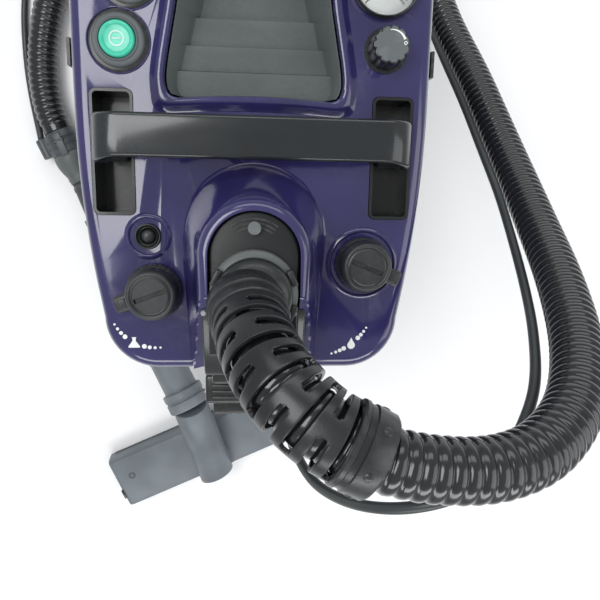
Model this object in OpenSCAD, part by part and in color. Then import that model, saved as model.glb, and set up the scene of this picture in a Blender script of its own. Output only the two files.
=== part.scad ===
// Spray-extraction carpet cleaner: a wheeled canister with its suction hose and a floor hand tool.
// Millimetres. X is the machine's right, Y its rear, Z up, and Z = 0 is the floor.

/* [Casing] */
// Widest width of the purple top casing
casing_width = 328; // [318:1:336]
// Rear edge of the casing, from the casing's own centre
casing_rear = 236; // [226:1:246]
// Height of the casing's top plate above the floor
casing_top = 475; // [475:1:475]
// Wall thickness of the moulded shells
wall = 4; // [3:0.5:5]

/* [Hose turret] */
// Height of the turret above the top plate
turret_rise = 85; // [80:1:88]
// Radius of the turret's round back at its foot
turret_foot_r = 65; // [60:1:66]
// Radius of the dark inlet housing inside the turret
housing_r = 38; // [36:0.5:38]

/* [Hose] */
// Outer diameter of the suction hose
hose_d = 46; // [42:1:46]
// Outer diameter of the thin solution tube
tube_d = 10; // [8:1:10]

/* [Carry handle] */
// Width across the handle's outer sides
handle_width = 289; // [282:1:289]
// Height of the handle's grip surface above the floor
handle_top = 508; // [504:1:510]

/* [Wheels] */
// Diameter of the rear wheels
rear_wheel_d = 190; // [180:2:192]
// Diameter of the front caster wheels
caster_wheel_d = 50; // [46:1:52]

/* [Hand tool] */
// Length of the tool's floor nozzle, end to end
nozzle_length = 342; // [300:6:348]

/* [Hidden] */
$fn = 64;

// The whole part is centred on its own box, so the machine stands off to one side of the hand tool
machine_at = [73.6, 186.1, 0];

purple = [0.20, 0.17, 0.42];
black = [0.09, 0.10, 0.10];
dark_grey = [0.20, 0.22, 0.22];
mid_grey = [0.37, 0.40, 0.40];
light_grey = [0.52, 0.56, 0.58];
mint = [0.37, 0.86, 0.73];
white = [0.92, 0.93, 0.92];
steel = [0.65, 0.67, 0.68];
clear = [0.80, 0.85, 0.88, 0.5];

// Casing outline: straight at the rear, drawing in towards the front
casing_front = -236;
front_corner_r = 52;
rear_corner_r = 60;
taper_start = 20;
taper_rate = 0.00047;
casing_skirt = casing_top - 39;

// Places on the top plate
power_at = [-120, 67];
pump_at = [-110, 120];
gauge_at = [116, 124];
regulator_at = [119, 67];
reset_at = [-99, -105];
chemical_at = [-94, -157];
water_at = [105, -129];
well_x = 128.5;
well_size = [39, 113];
well_y = -29.5;
well_floor = casing_top - 41;
handle_pivot = [0, -18, casing_top - 17];
handle_pin_r = 5;
tray_front = 20;
tray_rear = 188;

// Inlet
inlet_y = -144;
turret_back_y = -103;
housing_back_y = -114;
housing_front = -262;
lip_front = -266;
slope_top = [-146, casing_top + 86];
slope_foot = [-238, casing_top + 9];

// Shells and running gear
mid_bottom = 205;
chassis_bottom = 70;
chassis_half = 126;
axle_at = [0, 148, rear_wheel_d / 2];
axle_r = 7;
tank_top = 362;
motor_at = [-48, 74, 76];
wheel_inner_x = 131;
wheel_width = 30;
caster_at = [92, -165];
caster_trail = 16;
latch_at = [casing_width / 2, 60, 408];
running = 0.05;

// Suction hose: out of the elbow, over to the right, down to the floor, round the back to the tool
hose_route = [
    [-4, -155, 596], [3, -169, 636], [18, -188, 664], [44, -210, 680], [80, -229, 686],
    [126, -240, 685], [172, -243, 676], [214, -236, 656], [254, -218, 616], [288, -189, 550],
    [312, -145, 465], [326, -89, 370], [328, -5, 265], [315, 97, 170], [296, 180, 100],
    [274, 262, 50], [230, 330, 27], [150, 374, 24], [50, 388, 24], [-60, 386, 24],
    [-170, 364, 24], [-255, 308, 24], [-304, 236, 24], [-324, 166, 24], [-329, 106, 24], [-323, 56, 25],
    [-310, 20, 26]
];
restrictor_route = [for (i = [0:4]) hose_route[i]];

// Solution tube: from its coupler at the front, along the hose's lower side, to the tool's cuff
tube_route = [
    [34, -279, 462], [36, -300, 468], [44, -320, 490], [58, -330, 528], [78, -326, 568], [102, -315, 602],
    [130, -302, 624], [160, -288, 632], [190, -270, 626], [216, -248, 606], [244, -222, 568], [267, -192, 512],
    [284, -157, 450], [294, -110, 385], [297, -62, 330], [297, -5, 262], [290, 60, 200], [277, 125, 145],
    [264, 185, 96], [244, 245, 48], [208, 300, 16], [140, 338, 6], [45, 352, 6], [-50, 350, 8],
    [-100, 344, 22], [-125, 350, 44], [-148, 364, 55], [-170, 381, 54], [-192, 398, 38], [-220, 410, 14],
    [-262, 398, 6], [-312, 350, 6], [-345, 280, 6], [-358, 210, 6], [-360, 140, 6], [-355, 80, 8], [-340, 7, 20]
];
tube_wall = 1.5;
hose_wall = 3;

// Hand tool: lies along one heading on the floor, in front of and beside the machine
tool_at = [-310, 20, 0];
tool_heading = -66;
pipe_start = [240, 0, 65];
pipe_end = [458, 12, 98];
collar_start = [452, 11.7, 97.1];
neck_start = [484, 13.4, 99];
neck_end = [634, -10, 44];

function casing_half(y) = casing_width / 2 - taper_rate * pow(max(0, taper_start - y), 2);
function arc(cx, cy, r, a0, a1, n) = [for (i = [0:n]) let (a = a0 + (a1 - a0) * i / n) [cx + r * cos(a), cy + r * sin(a)]];
function flip(points) = [for (i = [len(points) - 1:-1:0]) [-points[i].x, points[i].y]];
function right_side(inset) = let (
        front_y = casing_front + front_corner_r,
        half = casing_half(front_y),
        rear_y = casing_rear - rear_corner_r
    ) concat(
        arc(casing_width / 2 - rear_corner_r, rear_y, rear_corner_r - inset, 90, 0, 8),
        [for (y = [140:-40:-140]) [casing_half(y) - inset, y]],
        arc(half - front_corner_r, front_y, front_corner_r - inset, 0, -90, 8)
    );
function ring_frame(route, i) = let (
        a = route[max(i - 1, 0)],
        b = route[min(i + 1, len(route) - 1)],
        t = (b - a) / norm(b - a),
        side = cross(t, [0, 0, 1]) / norm(cross(t, [0, 0, 1]))
    ) [side, cross(side, t)];
function ring(route, i, r, sides) = let (frame = ring_frame(route, i)) [
        for (k = [0:sides - 1]) route[i] + r * (cos(360 * k / sides) * frame[0] + sin(360 * k / sides) * frame[1])
    ];

module outline(inset = 0) {
    polygon(concat(right_side(inset), flip(right_side(inset))));
}

// A hollow tube swept along a route: outer wall, inner wall and two flat end rings
module swept_tube(route, r_out, r_in, sides) {
    n = len(route);
    outer = [for (i = [0:n - 1]) each ring(route, i, r_out, sides)];
    inner = [for (i = [0:n - 1]) each ring(route, i, r_in, sides)];
    shift = n * sides;
    walls = [for (i = [0:n - 2], k = [0:sides - 1]) let (
            a = i * sides + k, b = i * sides + (k + 1) % sides, c = b + sides, d = a + sides
        ) each [[a, b, c], [a, c, d], [shift + b, shift + a, shift + d], [shift + b, shift + d, shift + c]]];
    first_end = [for (k = [0:sides - 1]) let (a = k, b = (k + 1) % sides)
        each [[b, a, shift + a], [b, shift + a, shift + b]]];
    last = (n - 1) * sides;
    last_end = [for (k = [0:sides - 1]) let (a = last + k, b = last + (k + 1) % sides)
        each [[a, b, shift + b], [a, shift + b, shift + a]]];
    polyhedron(concat(outer, inner), concat(walls, first_end, last_end), convexity = 10);
}

module finish(c) {
    color(c) translate(machine_at) children();
}

module at(p, z = 0) {
    translate([p.x, p.y, z]) children();
}

// Places a shape with its own Z along d, from p
module along(p, d) {
    translate(p) rotate([0, acos(d.z / norm(d)), atan2(d.y, d.x)]) children();
}

// A side view (rear, up), made solid across the machine's middle
module across(width) {
    rotate([90, 0, 90]) linear_extrude(width, center = true) children();
}

// A U-shaped outline: round at the back, straight sides, open to the front
module u_outline(r, back_y, front_y, front_half) {
    union() {
        translate([0, back_y]) circle(r);
        polygon([[-r, back_y], [r, back_y], [front_half, front_y], [-front_half, front_y]]);
    }
}

module rounded_slot(size, r) {
    union() {
        square([size.x - 2 * r, size.y], center = true);
        square([size.x, size.y - 2 * r], center = true);
        for (x = [-1, 1], y = [-1, 1]) translate([x * (size.x / 2 - r), y * (size.y / 2 - r)]) circle(r);
    }
}

// Opening for the accessory tray: widest near its front, narrower towards the rear
module tray_outline(grow = 0) {
    half = [[72, tray_front], [81, tray_front + 16], [79, 52], [70, 100], [65, 140], [63, tray_rear - 14],
        [50, tray_rear]];
    right = [for (p = half) [p.x + grow, p.y + grow * (p.y < 60 ? (p.y < 30 ? -1 : 0) : (p.y > 160 ? 1 : 0))]];
    polygon(concat(flip(right), right));
}

module top_casing() {
    finish(purple) difference() {
        union() {
            translate([0, 0, casing_skirt]) linear_extrude(casing_top - casing_skirt) outline();
            translate([0, 0, casing_top - 1]) linear_extrude(7) tray_outline(11);
        }
        translate([0, 0, casing_skirt - 1]) linear_extrude(casing_top - casing_skirt + 1 - wall) outline(wall);
        translate([0, 0, casing_skirt]) linear_extrude(60) tray_outline();
        for (x = [-well_x, well_x]) translate([x, well_y, casing_skirt]) linear_extrude(60) rounded_slot(well_size, 6);
        translate([0, 0, casing_skirt - 1]) linear_extrude(60)
            u_outline(housing_r + 0.4, housing_back_y, housing_front, housing_r + 0.4);
        for (p = [power_at, pump_at]) at(p, casing_skirt) cylinder(r = 20, h = 60);
        at(gauge_at, casing_skirt) cylinder(r = 24, h = 60);
        at(regulator_at, casing_skirt) cylinder(r = 8, h = 60);
        at(reset_at, casing_skirt) cylinder(r = 11, h = 60);
        for (p = [chemical_at, water_at]) at(p, casing_skirt) cylinder(r = 20.4, h = 60);
    }
}

module inlet_turret() {
    top = casing_top + turret_rise;
    finish(purple) difference() {
        hull() {
            translate([0, 0, casing_top]) linear_extrude(2)
                u_outline(turret_foot_r, turret_back_y, casing_front + 4, 56, $fn = 48);
            translate([0, 0, top - 2]) linear_extrude(2)
                u_outline(housing_r + 4, housing_back_y, casing_front + 12, housing_r + 4, $fn = 48);
        }
        translate([0, 0, casing_top - 1]) linear_extrude(turret_rise + 2)
            u_outline(housing_r + 0.4, housing_back_y, housing_front, housing_r + 0.4);
        across(200) polygon([[slope_top.x, top + 1], slope_foot, [-270, slope_foot.y], [-270, top + 1]]);
    }
}

// Dark housing in the turret: steps down and out over the front lip, with the air way up its middle
module inlet_housing() {
    finish(black) difference() {
        union() {
            translate([0, 0, casing_skirt + 4]) linear_extrude(casing_top + 77 - casing_skirt - 4)
                u_outline(housing_r, housing_back_y, -200, housing_r);
            translate([-housing_r, -238, casing_skirt + 4]) cube([2 * housing_r, 39, 74]);
            across(2 * housing_r + 12) polygon([[-160, casing_top + 77], [-227, casing_top + 45],
                [-227, casing_top + 19], [-162, casing_top + 73.4]]);
            translate([-housing_r - 8, lip_front, casing_skirt + 4]) cube([2 * housing_r + 16, -237 - lip_front, 50]);
            translate([-40, lip_front - 18, casing_skirt + 8]) cube([62, 19, 28]);
            translate([24, housing_front - 9, casing_skirt + 10]) cube([20, 6, 28]);
        }
        translate([0, inlet_y, casing_skirt]) cylinder(r = 22, h = 140);
        translate([0, -90, casing_top + 62]) cylinder(r = 5.6, h = 60);
    }
}

module hose_elbow() {
    d = hose_route[1] - hose_route[0];
    start = hose_route[0] - 22 * d / norm(d);
    finish(dark_grey) difference() {
        union() {
            translate([0, inlet_y, casing_top + 77]) cylinder(r = 37, h = 13);
            translate([0, inlet_y, casing_top + 77]) cylinder(r = 32, h = 26);
            along(start, d) cylinder(r = 31, h = 22);
        }
        translate([0, inlet_y, casing_top + 76]) cylinder(r = 19, h = 22);
        along(start, d) cylinder(r = 19, h = 23);
    }
}

// Sprung latch button behind the elbow's collar
module inlet_latch() {
    finish(mid_grey) translate([0, -90, casing_top + 68]) cylinder(r = 5.4, h = 16);
}

// Ribbed accessory tray whose floor steps down towards the rear
module tray_liner() {
    floor_line = [[tray_front, 462], [46, 457], [47, 454], [70, 448], [71, 445], [96, 438], [97, 435],
        [124, 430], [150, 430], [tray_rear + 1, 446]];
    finish(mid_grey) difference() {
        intersection() {
            translate([0, 0, 420]) linear_extrude(casing_top + 3 - 420) tray_outline(-0.4);
            rotate([90, 0, 90]) translate([0, 0, -100]) linear_extrude(200) polygon(concat(
                [for (p = floor_line) [p.x, p.y - 3]], [[tray_rear + 1, 490], [tray_front, 490]]));
        }
        intersection() {
            translate([0, 0, 420]) linear_extrude(80) tray_outline(-3);
            rotate([90, 0, 90]) translate([0, 0, -100]) linear_extrude(200) polygon(concat(
                floor_line, [[tray_rear + 1, 490], [tray_front, 490]]));
        }
    }
}

// Two open boxes, one round each end of the handle, with bosses for its pins
module handle_wells() {
    finish(black) for (x = [-well_x, well_x]) translate([x, well_y, 0]) difference() {
        translate([0, 0, well_floor]) linear_extrude(casing_top + 1 - well_floor)
            rounded_slot(well_size - [0.8, 0.8], 6);
        translate([0, 0, well_floor + 2]) linear_extrude(60) rounded_slot(well_size - [6, 6], 4);
        translate([0, handle_pivot.y - well_y, handle_pivot.z]) rotate([0, 90, 0])
            cylinder(r = handle_pin_r, h = 60, center = true);
    }
}

module handle_pins() {
    finish(steel) for (side = [-1, 1]) translate([side * well_x, handle_pivot.y, handle_pivot.z])
        rotate([0, 90, 0]) cylinder(r = handle_pin_r, h = well_size.x - 1.2, center = true);
}

// Bail handle: a wide flat grip whose ends turn down into hubs on the pins
module carry_handle() {
    half = handle_width / 2;
    bend_x = half - 34;
    finish(dark_grey) difference() {
        union() {
            translate([-bend_x, -34, handle_top - 10]) cube([2 * bend_x, 38, 10]);
            for (side = [-1, 1]) mirror([side < 0 ? 1 : 0, 0, 0]) {
                rotate([90, 0, 0]) translate([0, 0, -4]) linear_extrude(38) polygon(concat(
                    [[bend_x, handle_top - 10], [bend_x, handle_top]],
                    [for (a = [80:-20:0]) [half - 22 + 22 * cos(a), handle_top - 24 + 22 * sin(a)]],
                    [[half - 4, casing_top + 4], [half - 18, casing_top + 4], [half - 16, handle_top - 14]]));
                translate([well_x - 11.5, handle_pivot.y, handle_pivot.z]) rotate([0, 90, 0]) cylinder(r = 19, h = 21);
                translate([well_x - 11.5, handle_pivot.y - 13, handle_pivot.z]) cube([21, 26, 24]);
            }
        }
        translate(handle_pivot) rotate([0, 90, 0]) cylinder(r = handle_pin_r + running, h = 400, center = true);
    }
}

module switch_bezels() {
    finish(mid_grey) for (p = [power_at, pump_at]) at(p) rotate_extrude() polygon([
        [16, casing_top - 12], [19.8, casing_top - 12], [19.8, casing_top], [24.5, casing_top],
        [24.5, casing_top + 3], [21, casing_top + 8], [16, casing_top + 6]]);
}

module round_button(p, c, r, top, foot) {
    finish(c) at(p) rotate_extrude() polygon([
        [0, foot], [r + 3, foot], [r + 3, foot + 3], [r, foot + 3], [r, top - 2], [r - 2, top], [0, top]]);
}

module power_button() {
    round_button(power_at, mint, 15.6, casing_top + 11, casing_top - 20);
}

module pump_button() {
    round_button(pump_at, mint, 15.6, casing_top + 11, casing_top - 20);
}

module gauge_case() {
    finish(black) at(gauge_at) rotate_extrude() polygon([
        [0, casing_top - 22], [23.8, casing_top - 22], [23.8, casing_top], [29, casing_top],
        [31, casing_top + 9], [27.5, casing_top + 11], [27.5, casing_top + 2], [0, casing_top + 2]]);
}

module gauge_dial() {
    finish(white) at(gauge_at, casing_top + 2) difference() {
        cylinder(r = 27.2, h = 1.5);
        translate([0, 0, -1]) cylinder(r = 1.2, h = 4);
    }
}

module gauge_needle() {
    finish(black) at(gauge_at, casing_top + 4) union() {
        cylinder(r = 3, h = 1.6);
        translate([0, 0, -1.8]) cylinder(r = 1.15, h = 2);
        rotate([0, 0, 225]) translate([-6, -0.7, 0]) cube([26, 1.4, 1]);
    }
}

module gauge_lens() {
    finish(clear) at(gauge_at, casing_top + 7) cylinder(r = 27.2, h = 2);
}

module regulator_seat() {
    finish(dark_grey) at(regulator_at) difference() {
        union() {
            translate([0, 0, casing_top]) cylinder(r = 20, h = 2);
            translate([0, 0, casing_top - 18]) cylinder(r = 7.8, h = 19);
        }
        translate([0, 0, casing_top - 14]) cylinder(r = 4.05, h = 40);
    }
}

module regulator_knob() {
    finish(black) at(regulator_at) difference() {
        union() {
            translate([0, 0, casing_top + 2.5]) cylinder(r = 17.5, h = 5);
            translate([0, 0, casing_top + 7]) cylinder(r = 16.5, h = 21);
            translate([0, 0, casing_top - 13]) cylinder(r = 4, h = 17);
        }
        for (a = [0:30:330]) rotate([0, 0, a]) translate([19.2, 0, casing_top + 9]) cylinder(r = 4.5, h = 30);
    }
}

module reset_ring() {
    finish(black) at(reset_at) rotate_extrude() polygon([
        [7, casing_top - 10], [10.8, casing_top - 10], [10.8, casing_top], [12, casing_top],
        [11, casing_top + 2], [7, casing_top + 1]]);
}

module reset_button() {
    round_button(reset_at, dark_grey, 6.5, casing_top + 4, casing_top - 16);
}

// Filler necks of the two front tanks, each with the flange that its cap closes on
module filler_necks() {
    finish(dark_grey) for (p = [chemical_at, water_at]) at(p) rotate_extrude() polygon([
        [17, tank_top], [20, tank_top], [20, casing_top], [25, casing_top], [25, casing_top + 1.5], [17, casing_top + 1.5]]);
}

// Quarter-turn cap: fluted rim, coin slot across the top, and a lug to turn it by
module filler_cap(p, lug_angle) {
    finish(dark_grey) at(p, casing_top + 2) difference() {
        union() {
            cylinder(r = 26, h = 8);
            cylinder(r = 24, h = 28);
            translate([0, 0, -14]) cylinder(r = 16.6, h = 15);
            rotate([0, 0, lug_angle]) translate([20, -8, 0]) cube([18, 16, 12]);
        }
        rotate([0, 0, lug_angle + 180]) translate([-19, -1.6, 26]) cube([38, 3.2, 4]);
    }
}

module chemical_cap() {
    filler_cap(chemical_at, 200);
}

module water_cap() {
    filler_cap(water_at, -22);
}

module chassis() {
    finish(black) difference() {
        translate([0, 0, chassis_bottom]) linear_extrude(mid_bottom - chassis_bottom)
            polygon([[-104, -212], [104, -212], [chassis_half, -190], [chassis_half, 200],
                [112, 214], [-112, 214], [-chassis_half, 200], [-chassis_half, -190]]);
        translate([0, 0, chassis_bottom + 6]) linear_extrude(mid_bottom)
            polygon([[-102, -207], [102, -207], [chassis_half - 5, -188], [chassis_half - 5, 198],
                [110, 209], [-110, 209], [-chassis_half + 5, 198], [-chassis_half + 5, -188]]);
        translate(axle_at) rotate([0, 90, 0]) cylinder(r = axle_r, h = 400, center = true);
        for (x = [-caster_at.x, caster_at.x]) translate([x, caster_at.y, chassis_bottom - 1])
            cylinder(r = 5.2, h = 20);
    }
}

// Main body shell: sits on the chassis rim and carries the top casing
module mid_body() {
    finish(purple) difference() {
        union() {
            translate([0, 0, mid_bottom]) linear_extrude(casing_skirt - mid_bottom) outline(4);
            for (side = [-1, 1], y = [-16, 16]) translate([side * (latch_at.x + 0.5), latch_at.y + y, latch_at.z])
                cube([11, 5, 12], center = true);
        }
        translate([0, 0, mid_bottom + 5]) linear_extrude(300) outline(4 + wall);
        translate([-60, -205, mid_bottom - 1]) cube([180, 195, 10]);
        for (side = [-1, 1]) translate([side * (latch_at.x + 3), latch_at.y, latch_at.z])
            rotate([90, 0, 0]) cylinder(r = 2, h = 50, center = true);
        translate([0, 236, 330]) cube([150, 30, 60], center = true);
        translate([-95, 240, 240]) rotate([90, 0, 0]) cylinder(r = 9, h = 40, center = true);
        translate([60, 240, 236]) rotate([90, 0, 0]) cylinder(r = 16, h = 40, center = true);
    }
}

module tank(size, corner, z0, z1, mouth, mouth_r) {
    difference() {
        translate([corner.x, corner.y, z0]) cube([size.x, size.y, z1 - z0]);
        translate([corner.x + 3, corner.y + 3, z0 + 3]) cube([size.x - 6, size.y - 6, z1 - z0 - 6]);
        translate([mouth.x, mouth.y, z1 - 5]) cylinder(r = mouth_r, h = 10);
    }
}

module solution_tank() {
    finish(clear) tank([176, 174], [-58, -186], chassis_bottom + 6, tank_top, water_at, 17);
}

module chemical_tank() {
    finish(clear) tank([56, 88], [-118, -202], mid_bottom + 5, tank_top, chemical_at, 17);
}

module recovery_tank() {
    finish(clear) difference() {
        tank([236, 190], [-118, 0], mid_bottom + 5, 410, [0, 60], 20);
        translate([0, -1, 388]) rotate([-90, 0, 0]) cylinder(r = 18.3, h = 6);
        translate([60, 180, 236]) rotate([-90, 0, 0]) cylinder(r = 12, h = 20);
    }
}

// Air pipe from the housing down and back into the recovery tank
module inlet_pipe() {
    finish(black) difference() {
        union() {
            translate([0, inlet_y, 366]) cylinder(r = 21.5, h = casing_skirt + 4 - 366);
            translate([0, inlet_y, 388]) rotate([-90, 0, 0]) cylinder(r = 18, h = 146);
        }
        translate([0, inlet_y, 369]) cylinder(r = 18.5, h = 100);
        translate([0, inlet_y, 388]) rotate([-90, 0, 0]) cylinder(r = 15, h = 150);
    }
}

// Suction motor: a wide fan case below and the motor can on top
module vacuum_motor() {
    finish(steel) translate(motor_at) difference() {
        union() {
            cylinder(r = 62, h = 52);
            translate([0, 0, 52]) cylinder(r = 44, h = 70);
        }
        translate([0, 0, 4]) cylinder(r = 56, h = 22);
        translate([0, 0, -1]) cylinder(r = 20, h = 10);
        translate([0, 0, 26]) cylinder(r = 6.05, h = 60);
    }
}

// Impeller on its spindle, inside the motor's fan case
module motor_fan() {
    finish(mid_grey) translate(motor_at) union() {
        translate([0, 0, 8]) cylinder(r = 52, h = 2);
        translate([0, 0, 8]) cylinder(r = 6, h = 60);
        for (a = [0:45:315]) rotate([0, 0, a]) translate([5, -1, 9]) cube([46, 2, 12]);
    }
}

module water_pump() {
    finish(mid_grey) translate([70, 100, chassis_bottom + 6]) union() {
        cylinder(r = 30, h = 60);
        translate([-22, -22, 60]) cube([44, 44, 26]);
        translate([0, 0, 78]) cylinder(r = 9, h = 20);
    }
}

// Ball that rises with the dirty water and shuts the air way
module float_ball() {
    finish(white) translate([0, 60, 330]) sphere(r = 17);
}

module rear_axle() {
    finish(steel) translate(axle_at) rotate([0, 90, 0])
        cylinder(r = axle_r, h = 2 * (wheel_inner_x + wheel_width + 2), center = true);
}

module rear_rim(side) {
    r = rear_wheel_d / 2;
    finish(mid_grey) translate(axle_at + [side * wheel_inner_x, 0, 0]) rotate([0, side * 90, 0]) difference() {
        rotate_extrude() polygon([
            [axle_r + running, 0], [20, 0], [20, 8], [r - 28, 12], [r - 24, 2], [r - 18, 2], [r - 18, 28],
            [r - 24, 28], [r - 28, 18], [24, 16], [20, 28], [axle_r + running, 28]]);
        for (a = [0:60:300]) rotate([0, 0, a]) translate([45, 0, -1]) cylinder(r = 9, h = 40);
    }
}

module rear_tyre(side) {
    r = rear_wheel_d / 2;
    finish(black) translate(axle_at + [side * wheel_inner_x, 0, 0]) rotate([0, side * 90, 0])
        rotate_extrude() polygon([[r - 18, 1], [r - 6, 0], [r, 5], [r, 25], [r - 6, wheel_width], [r - 18, 29]]);
}

module rear_rim_left() {
    rear_rim(-1);
}

module rear_rim_right() {
    rear_rim(1);
}

module rear_tyre_left() {
    rear_tyre(-1);
}

module rear_tyre_right() {
    rear_tyre(1);
}

// Two mounting plates, each with the spindle that its fork turns on
module caster_plates() {
    finish(steel) for (x = [-caster_at.x, caster_at.x]) translate([x, caster_at.y, 0]) union() {
        translate([-19, -19, chassis_bottom - 3]) cube([38, 38, 3]);
        translate([0, 0, chassis_bottom - 14]) cylinder(r = 5, h = 20);
    }
}

module caster_fork(side) {
    r = caster_wheel_d / 2;
    finish(dark_grey) translate([side * caster_at.x, caster_at.y, 0]) difference() {
        union() {
            translate([0, 0, chassis_bottom - 16]) cylinder(r = 15, h = 12);
            for (x = [-14.5, 11.5]) translate([x, -8, r - 5]) cube([3, 8 + caster_trail + 6, chassis_bottom - 8 - r]);
            translate([0, caster_trail, r]) rotate([0, 90, 0]) cylinder(r = 3, h = 29, center = true);
        }
        translate([0, 0, chassis_bottom - 20]) cylinder(r = 5 + running, h = 30);
    }
}

module caster_wheel(side) {
    r = caster_wheel_d / 2;
    finish(black) translate([side * caster_at.x, caster_at.y + caster_trail, r]) rotate([0, 90, 0])
        rotate_extrude() polygon([[3 + running, -10], [r - 3, -10], [r, -6], [r, 6], [r - 3, 10], [3 + running, 10]]);
}

module caster_fork_left() {
    caster_fork(-1);
}

module caster_fork_right() {
    caster_fork(1);
}

module caster_wheel_left() {
    caster_wheel(-1);
}

module caster_wheel_right() {
    caster_wheel(1);
}

// Over-centre latch that holds the top casing down on the body
module side_latch(side) {
    finish(dark_grey) translate([side * (latch_at.x + 3), latch_at.y, latch_at.z]) union() {
        rotate([90, 0, 0]) cylinder(r = 2 - running, h = 36, center = true);
        rotate([90, 0, 0]) cylinder(r = 4, h = 26, center = true);
        translate([side * 1.5 - 1.5, -12, 0]) cube([3, 24, 50]);
    }
}

module latch_left() {
    side_latch(-1);
}

module latch_right() {
    side_latch(1);
}

// Emptying spigot at the rear, with a smooth end that a drain hose pushes over
module drain_spigot() {
    finish(dark_grey) translate([60, 0, 236]) rotate([-90, 0, 0]) difference() {
        union() {
            translate([0, 0, 190]) cylinder(r = 15.8, h = 72.5);
            translate([0, 0, casing_rear - 4]) cylinder(r = 22, h = 5.5);
        }
        translate([0, 0, 189]) cylinder(r = 12, h = 80);
    }
}

module cord_gland() {
    finish(black) translate([-95, 0, 240]) rotate([-90, 0, 0]) difference() {
        union() {
            translate([0, 0, 222]) cylinder(r = 8.8, h = 12);
            translate([0, 0, casing_rear - 4]) cylinder(r = 14, h = 6.5);
            translate([0, 0, 238]) cylinder(r = 9, h = 14);
        }
        translate([0, 0, 220]) cylinder(r = 4.2, h = 40);
    }
}

module exhaust_grille() {
    finish(dark_grey) translate([0, 230.5, 330]) difference() {
        cube([149, 5, 59], center = true);
        for (i = [-5:5]) translate([i * 12.5, 0, 0]) cube([5, 20, 44], center = true);
    }
}

module vacuum_hose() {
    finish(black) swept_tube(hose_route, hose_d / 2, hose_d / 2 - hose_wall, 12);
}

// Slotted sleeve that keeps the hose from kinking where it leaves the elbow
module hose_restrictor() {
    finish(dark_grey) swept_tube(restrictor_route, 29, hose_d / 2 + 0.5, 12);
}

module solution_tube() {
    finish(mid_grey) swept_tube(tube_route, tube_d / 2, tube_d / 2 - tube_wall, 8);
}

// Quick coupler that the solution tube leaves from, on the front of the inlet housing
module tube_coupler() {
    start = tube_route[0];
    d = tube_route[1] - tube_route[0];
    finish(steel) union() {
        along(start - 8.4 * d / norm(d), d) cylinder(r = 8, h = 8.4);
        translate([start.x - 12, housing_front - 12, start.z - 14]) cube([10, 3, 20]);
    }
}

module on_tool(s, side = 0, z = 0) {
    translate(tool_at) rotate([0, 0, tool_heading]) translate([s, -side, z]) children();
}

// A round bar between two places [along the tool, to its left, up]
module tool_rod(a, b, r0, r1) {
    on_tool(0) along(a, b - a) cylinder(r1 = r0, r2 = r1, h = norm(b - a));
}

// A round bar in the tool's own upright plane, from (s0, z0) to (s1, z1)
module tool_bar(s0, z0, s1, z1, r0, r1) {
    tool_rod([s0, 0, z0], [s1, 0, z1], r0, r1);
}

// Cuff at the hose's end: a round body with a port for the solution tube and a clip arm
module hose_cuff() {
    finish(mid_grey) difference() {
        union() {
            tool_bar(0, 26, 36, 26, 26, 26);
            on_tool(0, 33, 20) rotate([0, 90, 0]) cylinder(r = 9, h = 30);
            on_tool(0, 33, 12) cube([30, 18, 16]);
        }
        on_tool(-1, 0, 26) rotate([0, 90, 0]) cylinder(r = 19, h = 60);
    }
}

module wand_adapter() {
    finish(mid_grey) difference() {
        union() {
            tool_bar(36, 26, 76, 26, 25, 19);
            tool_bar(76, 26, 84, 26, 19, 19);
        }
        on_tool(30, 0, 26) rotate([0, 90, 0]) cylinder(r = 14, h = 60);
    }
}

module wand_tube() {
    finish(dark_grey) difference() {
        tool_bar(84, 26, 250, 68, 17.5, 17.5);
        tool_bar(70, 22.4, 264, 71.6, 14, 14);
    }
}

module valve_body() {
    finish(black) on_tool(150, 0, 60) rotate([0, -14, 0]) union() {
        translate([0, -11, 0]) cube([46, 22, 18]);
        for (y = [-11, 8]) translate([2, y, 17]) cube([9, 3, 9]);
        translate([6.5, 0, 22]) rotate([90, 0, 0]) cylinder(r = 1.5, h = 22, center = true);
    }
}

// Lever that opens the spray valve, on a pin at its front end
module valve_trigger() {
    finish(mid_grey) on_tool(150, 0, 60) rotate([0, -14, 0]) translate([6.5, 0, 22]) rotate([0, -10, 0])
        difference() {
            union() {
                rotate([90, 0, 0]) cylinder(r = 3.4, h = 15, center = true);
                translate([0, -7.5, -1]) cube([56, 15, 4]);
            }
            rotate([90, 0, 0]) cylinder(r = 1.5 + running, h = 40, center = true);
        }
}

module tool_pipe() {
    finish(light_grey) difference() {
        union() {
            tool_rod(pipe_start, pipe_end, 24, 27.5);
            tool_rod(collar_start, neck_start + [0, 0, 3], 33, 33);
        }
        tool_rod([247, 0.4, 66.1], [500, 14.3, 104.4], 20.5, 20.5);
        tool_bar(84, 26, 250, 68, 17.5, 17.5);
    }
}

// Floor nozzle: a long low box with a suction mouth below, and the neck that runs down onto it
module nozzle_body() {
    shoe_end = nozzle_length / 2 - 10;
    finish(light_grey) difference() {
        union() {
            on_tool(540, -shoe_end, 0) translate([0, -nozzle_length, 0]) cube([96, nozzle_length, 36]);
            tool_rod(neck_start, neck_end, 29, 30);
        }
        on_tool(546, 6 - shoe_end, -1) translate([0, -nozzle_length + 12, 0])
            cube([84, nozzle_length - 12, 31]);
        on_tool(636, -60, 30) translate([0, -120, 0]) cube([40, 120, 80]);
        tool_rod([477, 14.5, 101.6], [622, -8.1, 48.4], 21, 21);
        on_tool(540, 60, -60) translate([-20, 0, 0]) cube([120, 120, 60]);
    }
}

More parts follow.
